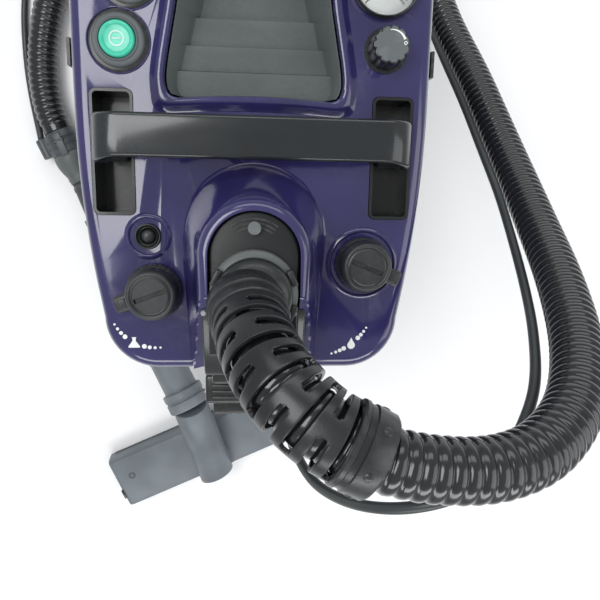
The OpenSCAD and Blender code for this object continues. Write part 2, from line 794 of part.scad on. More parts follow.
chassis();
mid_body();
top_casing();
inlet_turret();
inlet_housing();
hose_elbow();
inlet_latch();
tray_liner();
handle_wells();
carry_handle();
handle_pins();
switch_bezels();
power_button();
pump_button();
gauge_case();
gauge_dial();
gauge_needle();
gauge_lens();
regulator_seat();
regulator_knob();
reset_ring();
reset_button();
filler_necks();
chemical_cap();
water_cap();
solution_tank();
chemical_tank();
recovery_tank();
vacuum_motor();
motor_fan();
water_pump();
inlet_pipe();
float_ball();
rear_axle();
rear_rim_left();
rear_tyre_left();
rear_rim_right();
rear_tyre_right();
caster_plates();
caster_fork_left();
caster_wheel_left();
caster_fork_right();
caster_wheel_right();
latch_left();
latch_right();
drain_spigot();
cord_gland();
exhaust_grille();
vacuum_hose();
hose_restrictor();
solution_tube();
tube_coupler();
hose_cuff();
wand_adapter();
wand_tube();
valve_body();
valve_trigger();
tool_pipe();
nozzle_body();
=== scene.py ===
"""Carpet cleaner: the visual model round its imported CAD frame.

Places are millimetres in the machine's own frame (X right, Y rear, Z up from the floor) and at() turns them
into the row frame in metres. Every piece rides on the CAD body that it belongs to.
"""

import math

import bmesh
import bpy
import numpy as np
from mathutils import Matrix, Vector


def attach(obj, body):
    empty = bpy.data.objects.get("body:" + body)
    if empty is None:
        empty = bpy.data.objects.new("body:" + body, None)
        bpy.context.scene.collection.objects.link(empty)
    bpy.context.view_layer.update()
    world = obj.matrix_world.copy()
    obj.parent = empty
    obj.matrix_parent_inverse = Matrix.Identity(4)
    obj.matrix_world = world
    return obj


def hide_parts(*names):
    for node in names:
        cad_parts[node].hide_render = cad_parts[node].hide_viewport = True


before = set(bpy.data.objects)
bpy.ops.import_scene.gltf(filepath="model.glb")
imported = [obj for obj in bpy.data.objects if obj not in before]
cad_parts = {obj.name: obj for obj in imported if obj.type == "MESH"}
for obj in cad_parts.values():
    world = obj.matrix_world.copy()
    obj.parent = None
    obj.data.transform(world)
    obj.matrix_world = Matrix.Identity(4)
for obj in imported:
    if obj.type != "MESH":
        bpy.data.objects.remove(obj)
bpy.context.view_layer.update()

MACHINE_AT = Vector((73.6, 186.1, 0))
MM = 0.001
UP = (0, 0, 1)
TOP = 475
CUT_LOW, CUT_HIGH = 430, 520
AXLE_Y, AXLE_Z = 148, 95
CASTER_X, CASTER_Y, CASTER_Z = 92, -149, 25


def at(x, y, z):
    return (Vector((x, y, z)) + MACHINE_AT) * MM


# ---------------------------------------------------------------- camera
camera = bpy.data.objects.new("camera", bpy.data.cameras.new("camera"))
bpy.context.collection.objects.link(camera)
camera.data.lens = 36
camera.data.sensor_width = 36
view_forward = Vector((0.0824, -0.1897, -0.9784)).normalized()
view_up = Vector((-0.00496, 0.98162, -0.19078))
view_right = view_forward.cross(view_up).normalized()
view_up = view_right.cross(view_forward)
camera.matrix_world = Matrix.Translation(at(-3, -54, 1049)) @ Matrix(
    (view_right, view_up, -view_forward)
).transposed().to_4x4()
bpy.context.scene.camera = camera


# ---------------------------------------------------------------- materials
def material(name, color, rough=0.35, grain=0.15, grain_scale=900, wear=0.2, coat=0.0, metallic=0.0,
             dark=0.75, alpha=1.0, transmission=0.0, streak=0.0, painted_wall_shade=None):
    """Moulded surface: mottled colour, fine grain, uneven roughness, dulled edges, painted shade in its hollows, and
    painted shade on steep faces when a wall colour is given.
    """
    m = bpy.data.materials.new(name)
    m.use_nodes = True
    nodes, links = m.node_tree.nodes, m.node_tree.links
    shader = nodes["Principled BSDF"]
    shader.inputs["Metallic"].default_value = metallic
    shader.inputs["Coat Weight"].default_value = coat
    shader.inputs["Coat Roughness"].default_value = 0.08
    shader.inputs["Alpha"].default_value = alpha
    shader.inputs["Transmission Weight"].default_value = transmission
    place = nodes.new("ShaderNodeTexCoord")

    def noise(scale, detail, stretch=None):
        n = nodes.new("ShaderNodeTexNoise")
        n.inputs["Scale"].default_value = scale
        n.inputs["Detail"].default_value = detail
        if stretch:
            squeeze = nodes.new("ShaderNodeMapping")
            squeeze.inputs["Scale"].default_value = stretch
            links.new(place.outputs["Object"], squeeze.inputs["Vector"])
            links.new(squeeze.outputs["Vector"], n.inputs["Vector"])
        else:
            links.new(place.outputs["Object"], n.inputs["Vector"])
        return n.outputs["Fac"]

    def ranged(value, low, high, to_low, to_high):
        r = nodes.new("ShaderNodeMapRange")
        for key, number in zip(("From Min", "From Max", "To Min", "To Max"), (low, high, to_low, to_high)):
            r.inputs[key].default_value = number
        links.new(value, r.inputs["Value"])
        return r.outputs["Result"]

    def mixed(factor, first, second):
        x = nodes.new("ShaderNodeMix")
        x.data_type = "RGBA"
        links.new(factor, x.inputs["Factor"])
        for socket, value in ((x.inputs["A"], first), (x.inputs["B"], second)):
            if isinstance(value, tuple):
                socket.default_value = (*value, 1)
            else:
                links.new(value, socket)
        return x.outputs["Result"]

    def times(a, b):
        t = nodes.new("ShaderNodeMath")
        t.operation = "MULTIPLY"
        links.new(a, t.inputs[0])
        links.new(b, t.inputs[1])
        return t.outputs[0]

    def shade(k):
        return tuple(min(1.0, c * k) for c in color)

    shape = nodes.new("ShaderNodeNewGeometry")
    blotch = noise(14, 4)
    speck = noise(220, 3)
    tone = mixed(ranged(blotch, 0.35, 0.7, 0, 1), shade(dark), shade(1.06))
    # Painted shade: concave places (low pointiness) darken towards 0.45 of the colour, broken up by the fine speckle.
    hollow = ranged(shape.outputs["Pointiness"], 0.44, 0.5, 0.6, 0)
    tone = mixed(times(hollow, ranged(speck, 0.3, 0.7, 0.4, 1)), tone, shade(0.45))
    edge = times(ranged(shape.outputs["Pointiness"], 0.52, 0.62, 0, wear), ranged(speck, 0.35, 0.65, 0.2, 1))
    pale = tuple(0.55 * c + 0.28 for c in color)
    tone = mixed(edge, tone, pale)
    # Painted shade: faces that stand steep take the darker wall colour, as if in shadow; faces that look up keep the
    # tone.
    if painted_wall_shade:
        upright = nodes.new("ShaderNodeSeparateXYZ")
        links.new(shape.outputs["Normal"], upright.inputs["Vector"])
        tone = mixed(ranged(upright.outputs["Z"], 0.2, 0.75, 0, 1), painted_wall_shade, tone)
    links.new(tone, shader.inputs["Base Color"])
    smear = noise(7, 5, (1, 3, 1))
    links.new(ranged(smear, 0.3, 0.7, max(0.04, rough - 0.06), rough + 0.1), shader.inputs["Roughness"])
    fine = noise(grain_scale, 2)
    height = fine
    if streak:
        brushed = noise(90, 2, (1, 1, 18))
        height = mixed(ranged(brushed, 0, 1, streak, streak), fine, brushed)
    bump = nodes.new("ShaderNodeBump")
    bump.inputs["Strength"].default_value = grain
    bump.inputs["Distance"].default_value = 0.0004
    links.new(height, bump.inputs["Height"])
    links.new(bump.outputs["Normal"], shader.inputs["Normal"])
    return m


PURPLE = material("purple_gloss", (0.030, 0.025, 0.110), rough=0.12, grain=0.03, grain_scale=500, wear=0.1,
    coat=0.6)
BLACK = material("black_gloss", (0.008, 0.009, 0.009), rough=0.26, grain=0.08, wear=0.12, coat=0.2)
DARK = material("dark_satin", (0.015, 0.017, 0.018), rough=0.3, grain=0.2, wear=0.16)
CAP = material("cap_satin", (0.024, 0.027, 0.029), rough=0.33, grain=0.22, wear=0.16)
HANDLE = material("handle_gloss", (0.014, 0.017, 0.019), rough=0.2, grain=0.06, wear=0.12, coat=0.3)
GREY = material("mid_grey_matt", (0.110, 0.124, 0.128), rough=0.48, grain=0.3, wear=0.18)
SHELF = material("collar_grey", (0.105, 0.120, 0.116), rough=0.42, grain=0.2, wear=0.12)
# Painted shade: the tray's steep walls and step risers are coloured darker than its treads.
TRAY = material("tray_matt", (0.100, 0.118, 0.116), rough=0.55, grain=0.45, grain_scale=1400, wear=0.1,
                painted_wall_shade=(0.045, 0.052, 0.052))
TOOL = material("tool_grey", (0.150, 0.175, 0.195), rough=0.42, grain=0.25, wear=0.2)
TOOL_DARK = material("tool_dark_grey", (0.060, 0.069, 0.075), rough=0.36, grain=0.2, wear=0.18)
RIM = material("wheel_grey", (0.110, 0.120, 0.125), rough=0.5, grain=0.3, wear=0.2)
MINT = material("mint_button", (0.055, 0.56, 0.38), rough=0.26, grain=0.05, wear=0.1, coat=0.3, dark=0.88)
MARK = material("button_mark", (0.50, 0.72, 0.66), rough=0.35, grain=0.05, wear=0.05)
WHITE = material("printed_white", (0.80, 0.82, 0.80), rough=0.45, grain=0.1, wear=0.05, dark=0.93)
RED = material("printed_red", (0.50, 0.03, 0.03), rough=0.45, grain=0.1, wear=0.05)
LENS = material("lens_clear", (0.9, 0.93, 0.94), rough=0.05, grain=0.01, wear=0.0, transmission=1.0, alpha=0.35)
TANK = material("tank_translucent", (0.70, 0.74, 0.74), rough=0.42, grain=0.2, wear=0.05, transmission=0.5)
STEEL = material("turned_steel", (0.50, 0.52, 0.53), rough=0.3, grain=0.2, wear=0.1, metallic=1.0, streak=0.6)
RUBBER = material("tyre_rubber", (0.016, 0.016, 0.017), rough=0.72, grain=0.6, grain_scale=1600, wear=0.25)
HOSE = material("hose_gloss", (0.012, 0.013, 0.014), rough=0.17, grain=0.05, wear=0.15, coat=0.35)
TUBE = material("tube_grey", (0.040, 0.046, 0.048), rough=0.34, grain=0.1, wear=0.1)


# ---------------------------------------------------------------- mesh helpers
def new_object(name, verts, faces, mat):
    mesh = bpy.data.meshes.new(name)
    mesh.from_pydata([tuple(v) for v in verts], [], faces)
    mesh.materials.append(mat)
    shaped = bmesh.new()
    shaped.from_mesh(mesh)
    bmesh.ops.recalc_face_normals(shaped, faces=shaped.faces)
    shaped.to_mesh(mesh)
    shaped.free()
    mesh.polygons.foreach_set("use_smooth", [True] * len(mesh.polygons))
    o = bpy.data.objects.new(name, mesh)
    bpy.context.collection.objects.link(o)
    return o


def soften(o, width, angle=32, segments=3, weld=False):
    """Rounds every edge sharper than angle, and keeps flat faces flat."""
    if weld:
        o.modifiers.new("weld", "WELD").merge_threshold = 0.00002
    if width:
        b = o.modifiers.new("round", "BEVEL")
        b.width, b.segments, b.limit_method = width * MM, segments, "ANGLE"
        b.angle_limit = math.radians(angle)
        b.use_clamp_overlap = True
        b.harden_normals = True
    return o


def fixed(o):
    """Applies o's modifiers."""
    bpy.context.view_layer.update()
    done = bpy.data.meshes.new_from_object(o.evaluated_get(bpy.context.evaluated_depsgraph_get()))
    o.modifiers.clear()
    old = o.data
    o.data = done
    bpy.data.meshes.remove(old)
    return o


def joined(name, objects):
    """Merges the objects' meshes, with their materials, into one piece."""
    verts, faces, mats, picks, smooth = [], [], [], [], []
    for o in objects:
        fixed(o)
        start = len(verts)
        verts += [o.matrix_world @ v.co for v in o.data.vertices]
        slots = []
        for m in o.data.materials:
            if m not in mats:
                mats.append(m)
            slots.append(mats.index(m))
        for p in o.data.polygons:
            faces.append([start + i for i in p.vertices])
            picks.append(slots[min(p.material_index, len(slots) - 1)])
            smooth.append(p.use_smooth)
        bpy.data.objects.remove(o)
    mesh = bpy.data.meshes.new(name)
    mesh.from_pydata([tuple(v) for v in verts], [], faces)
    for m in mats:
        mesh.materials.append(m)
    mesh.polygons.foreach_set("material_index", picks)
    mesh.polygons.foreach_set("use_smooth", smooth)
    shaped = bmesh.new()
    shaped.from_mesh(mesh)
    for e in shaped.edges:
        if len(e.link_faces) == 2 and e.calc_face_angle(0) > math.radians(38):
            e.smooth = False
    shaped.to_mesh(mesh)
    shaped.free()
    o = bpy.data.objects.new(name, mesh)
    bpy.context.collection.objects.link(o)
    return o


def piece(o, body, slot, *nodes):
    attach(o, body)
    if nodes:
        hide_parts(*nodes)
    return o


def loft(name, rings, mat, caps=True):
    """Closed loops of points, skinned one to the next."""
    n = len(rings[0])
    verts = [v for ring in rings for v in ring]
    faces = []
    for i in range(len(rings) - 1):
        for k in range(n):
            a, b = i * n + k, i * n + (k + 1) % n
            faces.append((a, b, b + n, a + n))
    if caps:
        faces.append(tuple(range(n))[::-1])
        faces.append(tuple(range((len(rings) - 1) * n, len(rings) * n)))
    return new_object(name, verts, faces, mat)


def cos_sin(degrees):
    return math.cos(math.radians(degrees)), math.sin(math.radians(degrees))


def turned_about(centre, degrees):
    """A turn= for block(): its x and y are turned about an upright axis through centre."""
    c, s = cos_sin(degrees)
    return lambda x, y, z: at(centre[0] + c * x - s * y, centre[1] + s * x + c * y, z)


def axes_along(direction):
    w = Vector(direction).normalized()
    u = w.cross(Vector((0, 0, 1)))
    u = u.normalized() if u.length > 0.05 else Vector((1, 0, 0))
    return u, w.cross(u), w


def revolve(name, start, direction, profile, mat, sides=64, radius_at=None, hollow=False):
    """profile is (distance along the axis, radius) pairs in millimetres; hollow closes it back on itself."""
    u, v, w = axes_along(direction)
    rings = []
    for h, r in profile:
        ring = []
        for k in range(sides):
            a = 2 * math.pi * k / sides
            rr = radius_at(h, r, a) if radius_at else r
            ring.append(start + (w * h + (u * math.cos(a) + v * math.sin(a)) * rr) * MM)
        rings.append(ring)
    if hollow:
        rings.append(rings[0])
        return loft(name, rings, mat, caps=False)
    return loft(name, rings, mat)


def smooth_line(points, step):
    """A Catmull-Rom curve through the points, resampled to about step millimetres, in the row frame."""
    p = np.array(points, float)
    p = np.vstack([2 * p[0] - p[1], p, 2 * p[-1] - p[-2]])
    out = []
    for k in range(1, len(p) - 2):
        a, b, c, d = p[k - 1 : k + 3]
        for u in np.linspace(0, 1, 24, endpoint=False):
            out.append(0.5 * (2 * b + (c - a) * u + (2 * a - 5 * b + 4 * c - d) * u**2 + (3 * b - a - 3 * c + d) * u**3))
    out.append(p[-2])
    out = np.array(out)
    run = np.concatenate([[0], np.cumsum(np.linalg.norm(np.diff(out, axis=0), axis=1))])
    spots = np.linspace(0, run[-1], int(run[-1] / step) + 1)
    line = np.stack([np.interp(spots, run, out[:, k]) for k in range(3)], axis=1)
    return [at(*q) for q in line], run[-1] * MM


def turned_frames(line):
    """(side, up, along) at each point, turning as little as possible from one to the next."""
    frames = []
    side = None
    for i, p in enumerate(line):
        t = (line[min(i + 1, len(line) - 1)] - line[max(i - 1, 0)]).normalized()
        side = t.cross(Vector((0, 0, 1))) if side is None else side - t * side.dot(t)
        side.normalize()
        frames.append((side.copy(), t.cross(side), t))
    return frames


def tube(name, line, radius, mat, sides):
    """radius is a function of the distance run, in millimetres, and of the share of the whole."""
    rings, run = [], 0
    frames = turned_frames(line)
    for i, (p, (u, v, _)) in enumerate(zip(line, frames)):
        if i:
            run += (p - line[i - 1]).length / MM
        r = radius(run, i / (len(line) - 1)) * MM
        rings.append([p + (u * math.cos(2 * math.pi * k / sides) + v * math.sin(2 * math.pi * k / sides)) * r
                      for k in range(sides)])
    return loft(name, rings, mat)


def block(name, low, high, mat, bevel=1.0, turn=None):
    """A rounded block from low to high in machine millimetres."""
    x0, y0, z0, x1, y1, z1 = *low, *high
    verts = [(x, y, z) for x in (x0, x1) for y in (y0, y1) for z in (z0, z1)]
    verts = [at(*v) if turn is None else turn(*v) for v in verts]
    faces = [(0, 1, 3, 2), (4, 6, 7, 5), (0, 4, 5, 1), (2, 3, 7, 6), (0, 2, 6, 4), (1, 5, 7, 3)]
    return soften(new_object(name, verts, faces, mat), bevel)


def cut(o, cutters):
    for i, c in enumerate(cutters):
        b = o.modifiers.new(f"cut{i}", "BOOLEAN")
        b.operation, b.solver, b.object = "DIFFERENCE", "EXACT", c
    fixed(o)
    for c in cutters:
        bpy.data.objects.remove(c)
    return o


def prism(name, outline, z0, z1, mat):
    return loft(name, [[at(x, y, z) for x, y in outline] for z in (z0, z1)], mat)


def arc(cx, cy, r, a0, a1, n):
    return [(cx + r * math.cos(math.radians(a0 + (a1 - a0) * i / n)),
        cy + r * math.sin(math.radians(a0 + (a1 - a0) * i / n)))
            for i in range(n + 1)]


def rounded(w, h, r, n=5, cx=0.0, cy=0.0):
    """Corners of a rounded rectangle, counter-clockwise."""
    out = []
    for sx, sy, a in ((1, 1, 0), (-1, 1, 90), (-1, -1, 180), (1, -1, 270)):
        out += arc(cx + sx * (w / 2 - r), cy + sy * (h / 2 - r), r, a, a + 90, n)
    return out


# ---------------------------------------------------------------- cords
HOSE_ROUTE = [
    (-4, -155, 596), (3, -169, 636), (18, -188, 664), (44, -210, 680), (80, -229, 686),
    (126, -240, 685), (172, -243, 676), (214, -236, 656), (254, -218, 616), (288, -189, 550),
    (312, -145, 465), (326, -89, 370), (328, -5, 265), (315, 97, 170), (296, 180, 100),
    (274, 262, 50), (230, 330, 27), (150, 374, 24), (50, 388, 24), (-60, 386, 24),
    (-170, 364, 24), (-255, 308, 24), (-304, 236, 24), (-324, 166, 24), (-329, 106, 24), (-323, 56, 25),
    (-310, 20, 26),
]
TUBE_ROUTE = [
    (34, -279, 462), (36, -300, 468), (44, -320, 490), (58, -330, 528), (78, -326, 568), (102, -315, 602),
    (130, -302, 624), (160, -288, 632), (190, -270, 626), (216, -248, 606), (244, -222, 568), (267, -192, 512),
    (284, -157, 450), (294, -110, 385), (297, -62, 330), (297, -5, 262), (290, 60, 200), (277, 125, 145),
    (264, 185, 96), (244, 245, 48), (208, 300, 16), (140, 338, 6), (45, 352, 6), (-50, 350, 8),
    (-100, 344, 22), (-125, 350, 44), (-148, 364, 55), (-170, 381, 54), (-192, 398, 38), (-220, 410, 14),
    (-262, 398, 6), (-312, 350, 6), (-345, 280, 6), (-358, 210, 6), (-360, 140, 6), (-355, 80, 8), (-340, 7, 20),
]
HOSE_D, TUBE_D, PITCH = 46, 10, 10.0

hose_line, hose_length = smooth_line(HOSE_ROUTE, 1.25)
tube_line, tube_length = smooth_line(TUBE_ROUTE, 6)


def ribbed(run, share):
    """Hose radius: rounded ridges with narrow valleys, and plain ends."""
    if share < 0.004 or share > 0.995:
        return HOSE_D / 2 - 1.2
    wave = abs(math.cos(math.pi * run / PITCH))
    return HOSE_D / 2 - 2.6 * (1 - wave**0.55)


hose = tube("vacuum_hose_ribbed", hose_line, ribbed, HOSE, sides=32)
piece(hose, "machine", "hose_plastic", "vacuum_hose")

solution = tube("solution_tube_round", tube_line, lambda run, share: TUBE_D / 2, TUBE, sides=20)
piece(solution, "machine", "tube_plastic", "solution_tube")


# Bend sleeve: a tube with staggered slots that let it flex, and a cuff at each end
def bend_sleeve():
    line, _ = smooth_line(HOSE_ROUTE[:5], 1.55)
    frames = turned_frames(line)
    around, row = 120, 8
    n = len(line)
    first_row, last_row = 10, n - 16
    verts = []
    for p, (u, v, _) in zip(line, frames):
        verts += [p + (u * math.cos(2 * math.pi * k / around) + v * math.sin(2 * math.pi * k / around)) * 29.2 * MM
                  for k in range(around)]
    faces = []
    for i in range(n - 1):
        band, inside = divmod(i - first_row, row)
        for k in range(around):
            # Two long slots to a row, with a bridge between them that moves round by a quarter from row to row
            spot = (k + 35 + 30 * (band % 2)) % 60
            slotted = first_row <= i < last_row and (
                inside in (3, 4) and spot >= 10 or inside in (2, 5) and 11 <= spot < 59)
            if not slotted:
                a, b = i * around + k, i * around + (k + 1) % around
                faces.append((a, b, b + around, a + around))
    sleeve = new_object("sleeve_wall", verts, faces, DARK)
    skin = sleeve.modifiers.new("thickness", "SOLIDIFY")
    skin.thickness, skin.offset = 3.4 * MM, -1
    fixed(sleeve)
    soften(sleeve, 0.6, angle=50, segments=2)
    start = line[0] - frames[0][2] * 2 * MM
    first = revolve("sleeve_first", start, frames[0][2],
                    [(0, 25), (0, 30.4), (1, 31), (11, 31), (12, 30.2), (12, 25)], DARK, hollow=True)
    last = revolve("sleeve_last", line[-16], frames[-8][2],
                   [(0, 25), (0, 29.8), (1.2, 31), (4, 31), (5, 29.8), (9, 29.8), (10, 31), (24, 30.6), (26, 29),
                       (26, 24.5),
                    (12, 24.2)], DARK, hollow=True)
    tabs = []
    u, v, w = frames[-8]
    for a in range(0, 360, 60):
        out = u * math.cos(math.radians(a)) + v * math.sin(math.radians(a))
        tabs.append(revolve(f"sleeve_tab{a}", line[-16] + w * 17 * MM + out * 29.4 * MM, out,
                            [(0, 3.4), (1.6, 3.2), (2.2, 2.4)], DARK, sides=16))
    return joined("bend_sleeve", [sleeve, first, last, *tabs])


sleeve = piece(bend_sleeve(), "machine", "dark_plastic", "hose_restrictor")


# ---------------------------------------------------------------- hand tool places
TOOL_AT = (-310, 20)
TOOL_HEADING = math.radians(-66)
FORWARD = Vector((math.cos(TOOL_HEADING), math.sin(TOOL_HEADING), 0))
LEFT = Vector((-math.sin(TOOL_HEADING), math.cos(TOOL_HEADING), 0))


def on_tool(s, left, z):
    """s runs along the tool, left is its left side."""
    p = Vector((*TOOL_AT, 0)) + FORWARD * s + LEFT * left
    return at(p.x, p.y, z)


def tool_bar(name, s0, z0, s1, z1, profile, mat, **kw):
    start, end = on_tool(s0, 0, z0), on_tool(s1, 0, z1)
    return revolve(name, start, end - start, profile, mat, **kw)


cuff_body = tool_bar("cuff_body", 0, 26, 36, 26, [
    (0, 19.4), (0, 23), (1.5, 25), (5, 25.4), (6, 26), (12, 26), (13, 25.2), (15, 25.2), (16, 26), (22, 26), (23,
        25.2),
    (25, 25.2), (26, 26), (34.5, 26), (36, 24.8), (36, 19.4)], TOOL_DARK, hollow=True)
cuff_port = revolve("cuff_port", on_tool(-1, -33, 20), FORWARD, [
    (0, 5.2), (0, 8), (1, 9), (30, 9), (31, 8), (31, 0.5), (6, 0.5), (6, 5.2)], TOOL_DARK, sides=32, hollow=True)
cuff_web = block("cuff_web", (0, -30, 12), (30, -20, 28), TOOL_DARK, 2, on_tool)
cuff_lever = block("cuff_lever", (4, -6, 50.5), (40, 6, 53.5), TOOL_DARK, 1.2, on_tool)
cuff_pivot = revolve("cuff_pivot", on_tool(16, -8, 51.5), LEFT, [(0, 2), (0.6, 2.6), (15.4, 2.6), (16, 2)], BLACK,
    sides=24)
cuff = piece(joined("cuff_shell", [cuff_body, cuff_port, cuff_web, cuff_lever, cuff_pivot]), "machine",
    "grey_plastic",
             "hose_cuff")


# ---------------------------------------------------------------- casing
FRONT, REAR, HALF = -236, 236, 164


def casing_half(y):
    return HALF - 0.00047 * max(0, 20 - y) ** 2


def outline(inset):
    front_half = casing_half(FRONT + 52)
    right = arc(HALF - 60, REAR - 60, 60 - inset, 90, 0, 14)
    right += [(casing_half(y) - inset, y) for y in range(150, -160, -20)]
    right += arc(front_half - 52, FRONT + 52, 52 - inset, 0, -90, 14)
    return right + [(-x, y) for x, y in reversed(right)]


def tray_outline(grow):
    half = [(0, 23.4), (30, 22.8), (54, 21.2), (72, 20), (78.5, 24), (81, 36), (79, 52), (70, 100), (65, 140), (63,
        172), (59, 183), (50, 188)]
    right = []
    for i, (x, y) in enumerate(half):
        lift = -1 if i < 5 else 1 if i > 9 else 0
        right.append((x + grow * min(1, x / 30), y + grow * lift))
    return right + [(-x, y) for x, y in reversed(right[1:])]


def stacked(levels):
    """The casing outline at each (height, inset)."""
    return [[at(x, y, z) for x, y in outline(inset)] for z, inset in levels]


def u_outline(r, back_y, front_y, front_half, n=28, legs=6):
    side = [(front_half + (r - front_half) * i / legs,
        front_y + (back_y - front_y) * i / legs) for i in range(legs)]
    return side + arc(0, back_y, r, 0, 180, n) + [(-x, y) for x, y in reversed(side)]


POWER, PUMP, GAUGE, KNOB, RESET, CHEMICAL, WATER = (
    (-120, 67), (-110, 120), (116, 124), (119, 67), (-99, -105), (-94, -157), (105, -129))
WELLS = ((-128.5, -29.5), (128.5, -29.5))
INLET_Y, TURRET_BACK, HOUSING_BACK, HOUSING_R = -144, -103, -114, 38


def drill(name, p, r):
    return revolve(name, at(*p, CUT_LOW), UP, [(0, r), (CUT_HIGH - CUT_LOW, r)], PURPLE)


def top_casing():
    """Shell with a rolled top edge, a flush belt line, and every opening cut through it."""
    profile = [(436, 1.6), (437.5, 0), (462, 0)]
    profile += [(462 + 13 * math.sin(math.radians(a)), 13 * (1 - math.cos(math.radians(a)))) for a in range(10, 91,
        10)]
    shell = loft("top_casing_shell", stacked(profile), PURPLE)
    cutters = [loft("hollow", stacked(((430, 4), (462, 4), (471, 13))), PURPLE),
               prism("tray_hole", tray_outline(0.2), CUT_LOW, CUT_HIGH, PURPLE),
               prism("inlet_hole", u_outline(HOUSING_R + 0.6, HOUSING_BACK, -290, HOUSING_R + 0.6), CUT_LOW,
                   CUT_HIGH, PURPLE)]
    for x, y in WELLS:
        cutters.append(prism("well_hole", rounded(39, 113, 6, cx=x, cy=y), CUT_LOW, CUT_HIGH, PURPLE))
    cutters += [drill(f"hole{i}", p, r) for i, (p, r) in enumerate(
        ((POWER, 20), (PUMP, 20), (GAUGE, 24), (KNOB, 8), (RESET, 11), (CHEMICAL, 20.4), (WATER, 20.4)))]
    cut(shell, cutters)
    soften(shell, 1.6, angle=40)
    parts = [shell]
    # Rolled rim round the tray
    rim = []
    for inset, z in ((0.2, 474), (0.2, 479), (1.2, 480.6), (3.5, 481.4), (6.5, 480.8), (9, 478.8), (11, 476.6),
        (14, 474.8),
                     (14, 474)):
        rim.append([at(x, y, z) for x, y in densified(tray_outline(inset))])
    rim.append(rim[0])
    parts.append(loft("tray_rim", rim, PURPLE, caps=False))
    # Shallow dishes round the reset button and the water cap, each with a rolled lip
    for name, (cx, cy), r in (("reset_dish", RESET, 18), ("water_dish", WATER, 31.5)):
        parts.append(revolve(name, at(cx, cy, TOP - 1), UP, [
            (0, r - 1.4), (1.4, r - 1.2), (2.6, r - 0.6), (3.2, r + 0.6), (2.8, r + 2), (1.6, r + 3.6), (0,
                r + 5)], PURPLE,
            sides=96, hollow=True))
    return joined("top_casing_moulded", parts)


def densified(points):
    """The closed outline again with 160 even points and rounded-off corners."""
    p = np.array(points + [points[0]], float)
    run = np.concatenate([[0], np.cumsum(np.linalg.norm(np.diff(p, axis=0), axis=1))])
    spots = np.linspace(0, 1, 160, endpoint=False) * run[-1]
    q = np.stack([np.interp(spots, run, p[:, k]) for k in (0, 1)], axis=1)
    for _ in range(2):
        q = 0.25 * np.roll(q, 1, axis=0) + 0.5 * q + 0.25 * np.roll(q, -1, axis=0)
    return [tuple(v) for v in q]


piece(top_casing(), "machine", "purple_shell", "top_casing")


def turret():
    """Hump that flows up from the casing with a soft foot, open at the front round the housing."""
    profile = [(470, 70, 0), (474.6, 70, 0), (475.4, 67.5, 0), (477, 65.8, 0.5), (480, 64.2, 1), (485, 62.6, 1.5),
        (493, 60.4, 2),
               (505, 57.8, 3), (520, 54.8, 4), (534, 52, 5), (545, 49.6, 5.5), (552, 47.6, 6), (556.5, 45.6, 6.5),
               (559.2, 43, 7), (560, 40.8, 8)]
    def slope_top(y):
        """Height of the sloping cut over the front at this y."""
        return np.interp(y, (-238, -160, -146), (484, 550, 561))

    levels = []
    for z, r, back in profile:
        share = max(0, (z - 475) / 85)
        outline_here = u_outline(r, TURRET_BACK - 11 * share, -232 + back, min(r - 3, 60 - 17 * share), legs=60)
        levels.append([at(x, y, min(z, slope_top(y))) for x, y in outline_here])
    inner = u_outline(HOUSING_R + 0.4, HOUSING_BACK, -224, HOUSING_R + 0.4, legs=60)
    levels.append([at(x, y, min(560, slope_top(y))) for x, y in inner])
    levels.append([at(x, y, 470) for x, y in inner])
    hump = loft("inlet_turret_hump", [list(section) for section in zip(*levels)], PURPLE)
    return soften(hump, 1.4, angle=50)


piece(turret(), "machine", "purple_shell", "inlet_turret")


def inlet_housing():
    """Black housing: a U block in the turret, sloping cheeks, and blocks stepping out over the front."""
    core = prism("housing_core", u_outline(HOUSING_R, HOUSING_BACK, -200, HOUSING_R), 440, 552, BLACK)
    parts = [soften(core, 2.4, angle=50, segments=4)]
    cheek = [(-158, 552.4), (-170, 549), (-200, 537), (-222, 525), (-227, 520), (-227, 494), (-162, 548)]
    cheeks = loft("housing_cheeks", [[at(x, y, z) for y, z in cheek] for x in (-44, 44)], BLACK)
    parts.append(soften(cheeks, 2.6, angle=40, segments=4))
    for i, (x0, x1, y0, y1, z0, z1) in enumerate((
            (-38, 38, -238, -199, 440, 514), (-46, 46, -266, -237, 440, 490), (-40, 22, -284, -265, 444, 472),
            (24, 44, -271, -265, 446, 474))):
        parts.append(block(f"housing_step{i}", (x0, y0, z0), (x1, y1, z1), BLACK, 3))
    for i, y in enumerate((-247, -253, -259)):
        parts.append(block(f"housing_rib{i}", (-40, y - 1.2, 488), (40, y + 1.2, 491.4), BLACK, 1))
    for x in (-34, -24, -14, -4, 6):
        parts.append(block(f"housing_vent{x}", (x - 2.6, -285.6, 448), (x + 2.6, -283, 468), BLACK, 0.9))
    # Arched finger grille behind the latch, and two small steel pins
    for r in (24.5, 28, 31.5):
        bar = [[at(x, y, z) for x, y in arc(0, HOUSING_BACK, radius, 52, 128, 20)] for radius, z in (
            (r - 1.1, 551), (r - 0.8, 553), (r + 0.8, 553), (r + 1.1, 551))]
        parts.append(loft(f"grille_bar{r}", [list(p) for p in zip(*bar)], DARK))
    for x in (-42, 34):
        parts.append(revolve(f"housing_pin{x}", at(x, -162, 549), UP, [(0, 2.6), (3, 2.6), (4, 1.8), (4, 0.02)],
            STEEL, sides=20))
    return joined("inlet_housing_stepped", parts)


piece(inlet_housing(), "machine", "black_plastic", "inlet_housing")


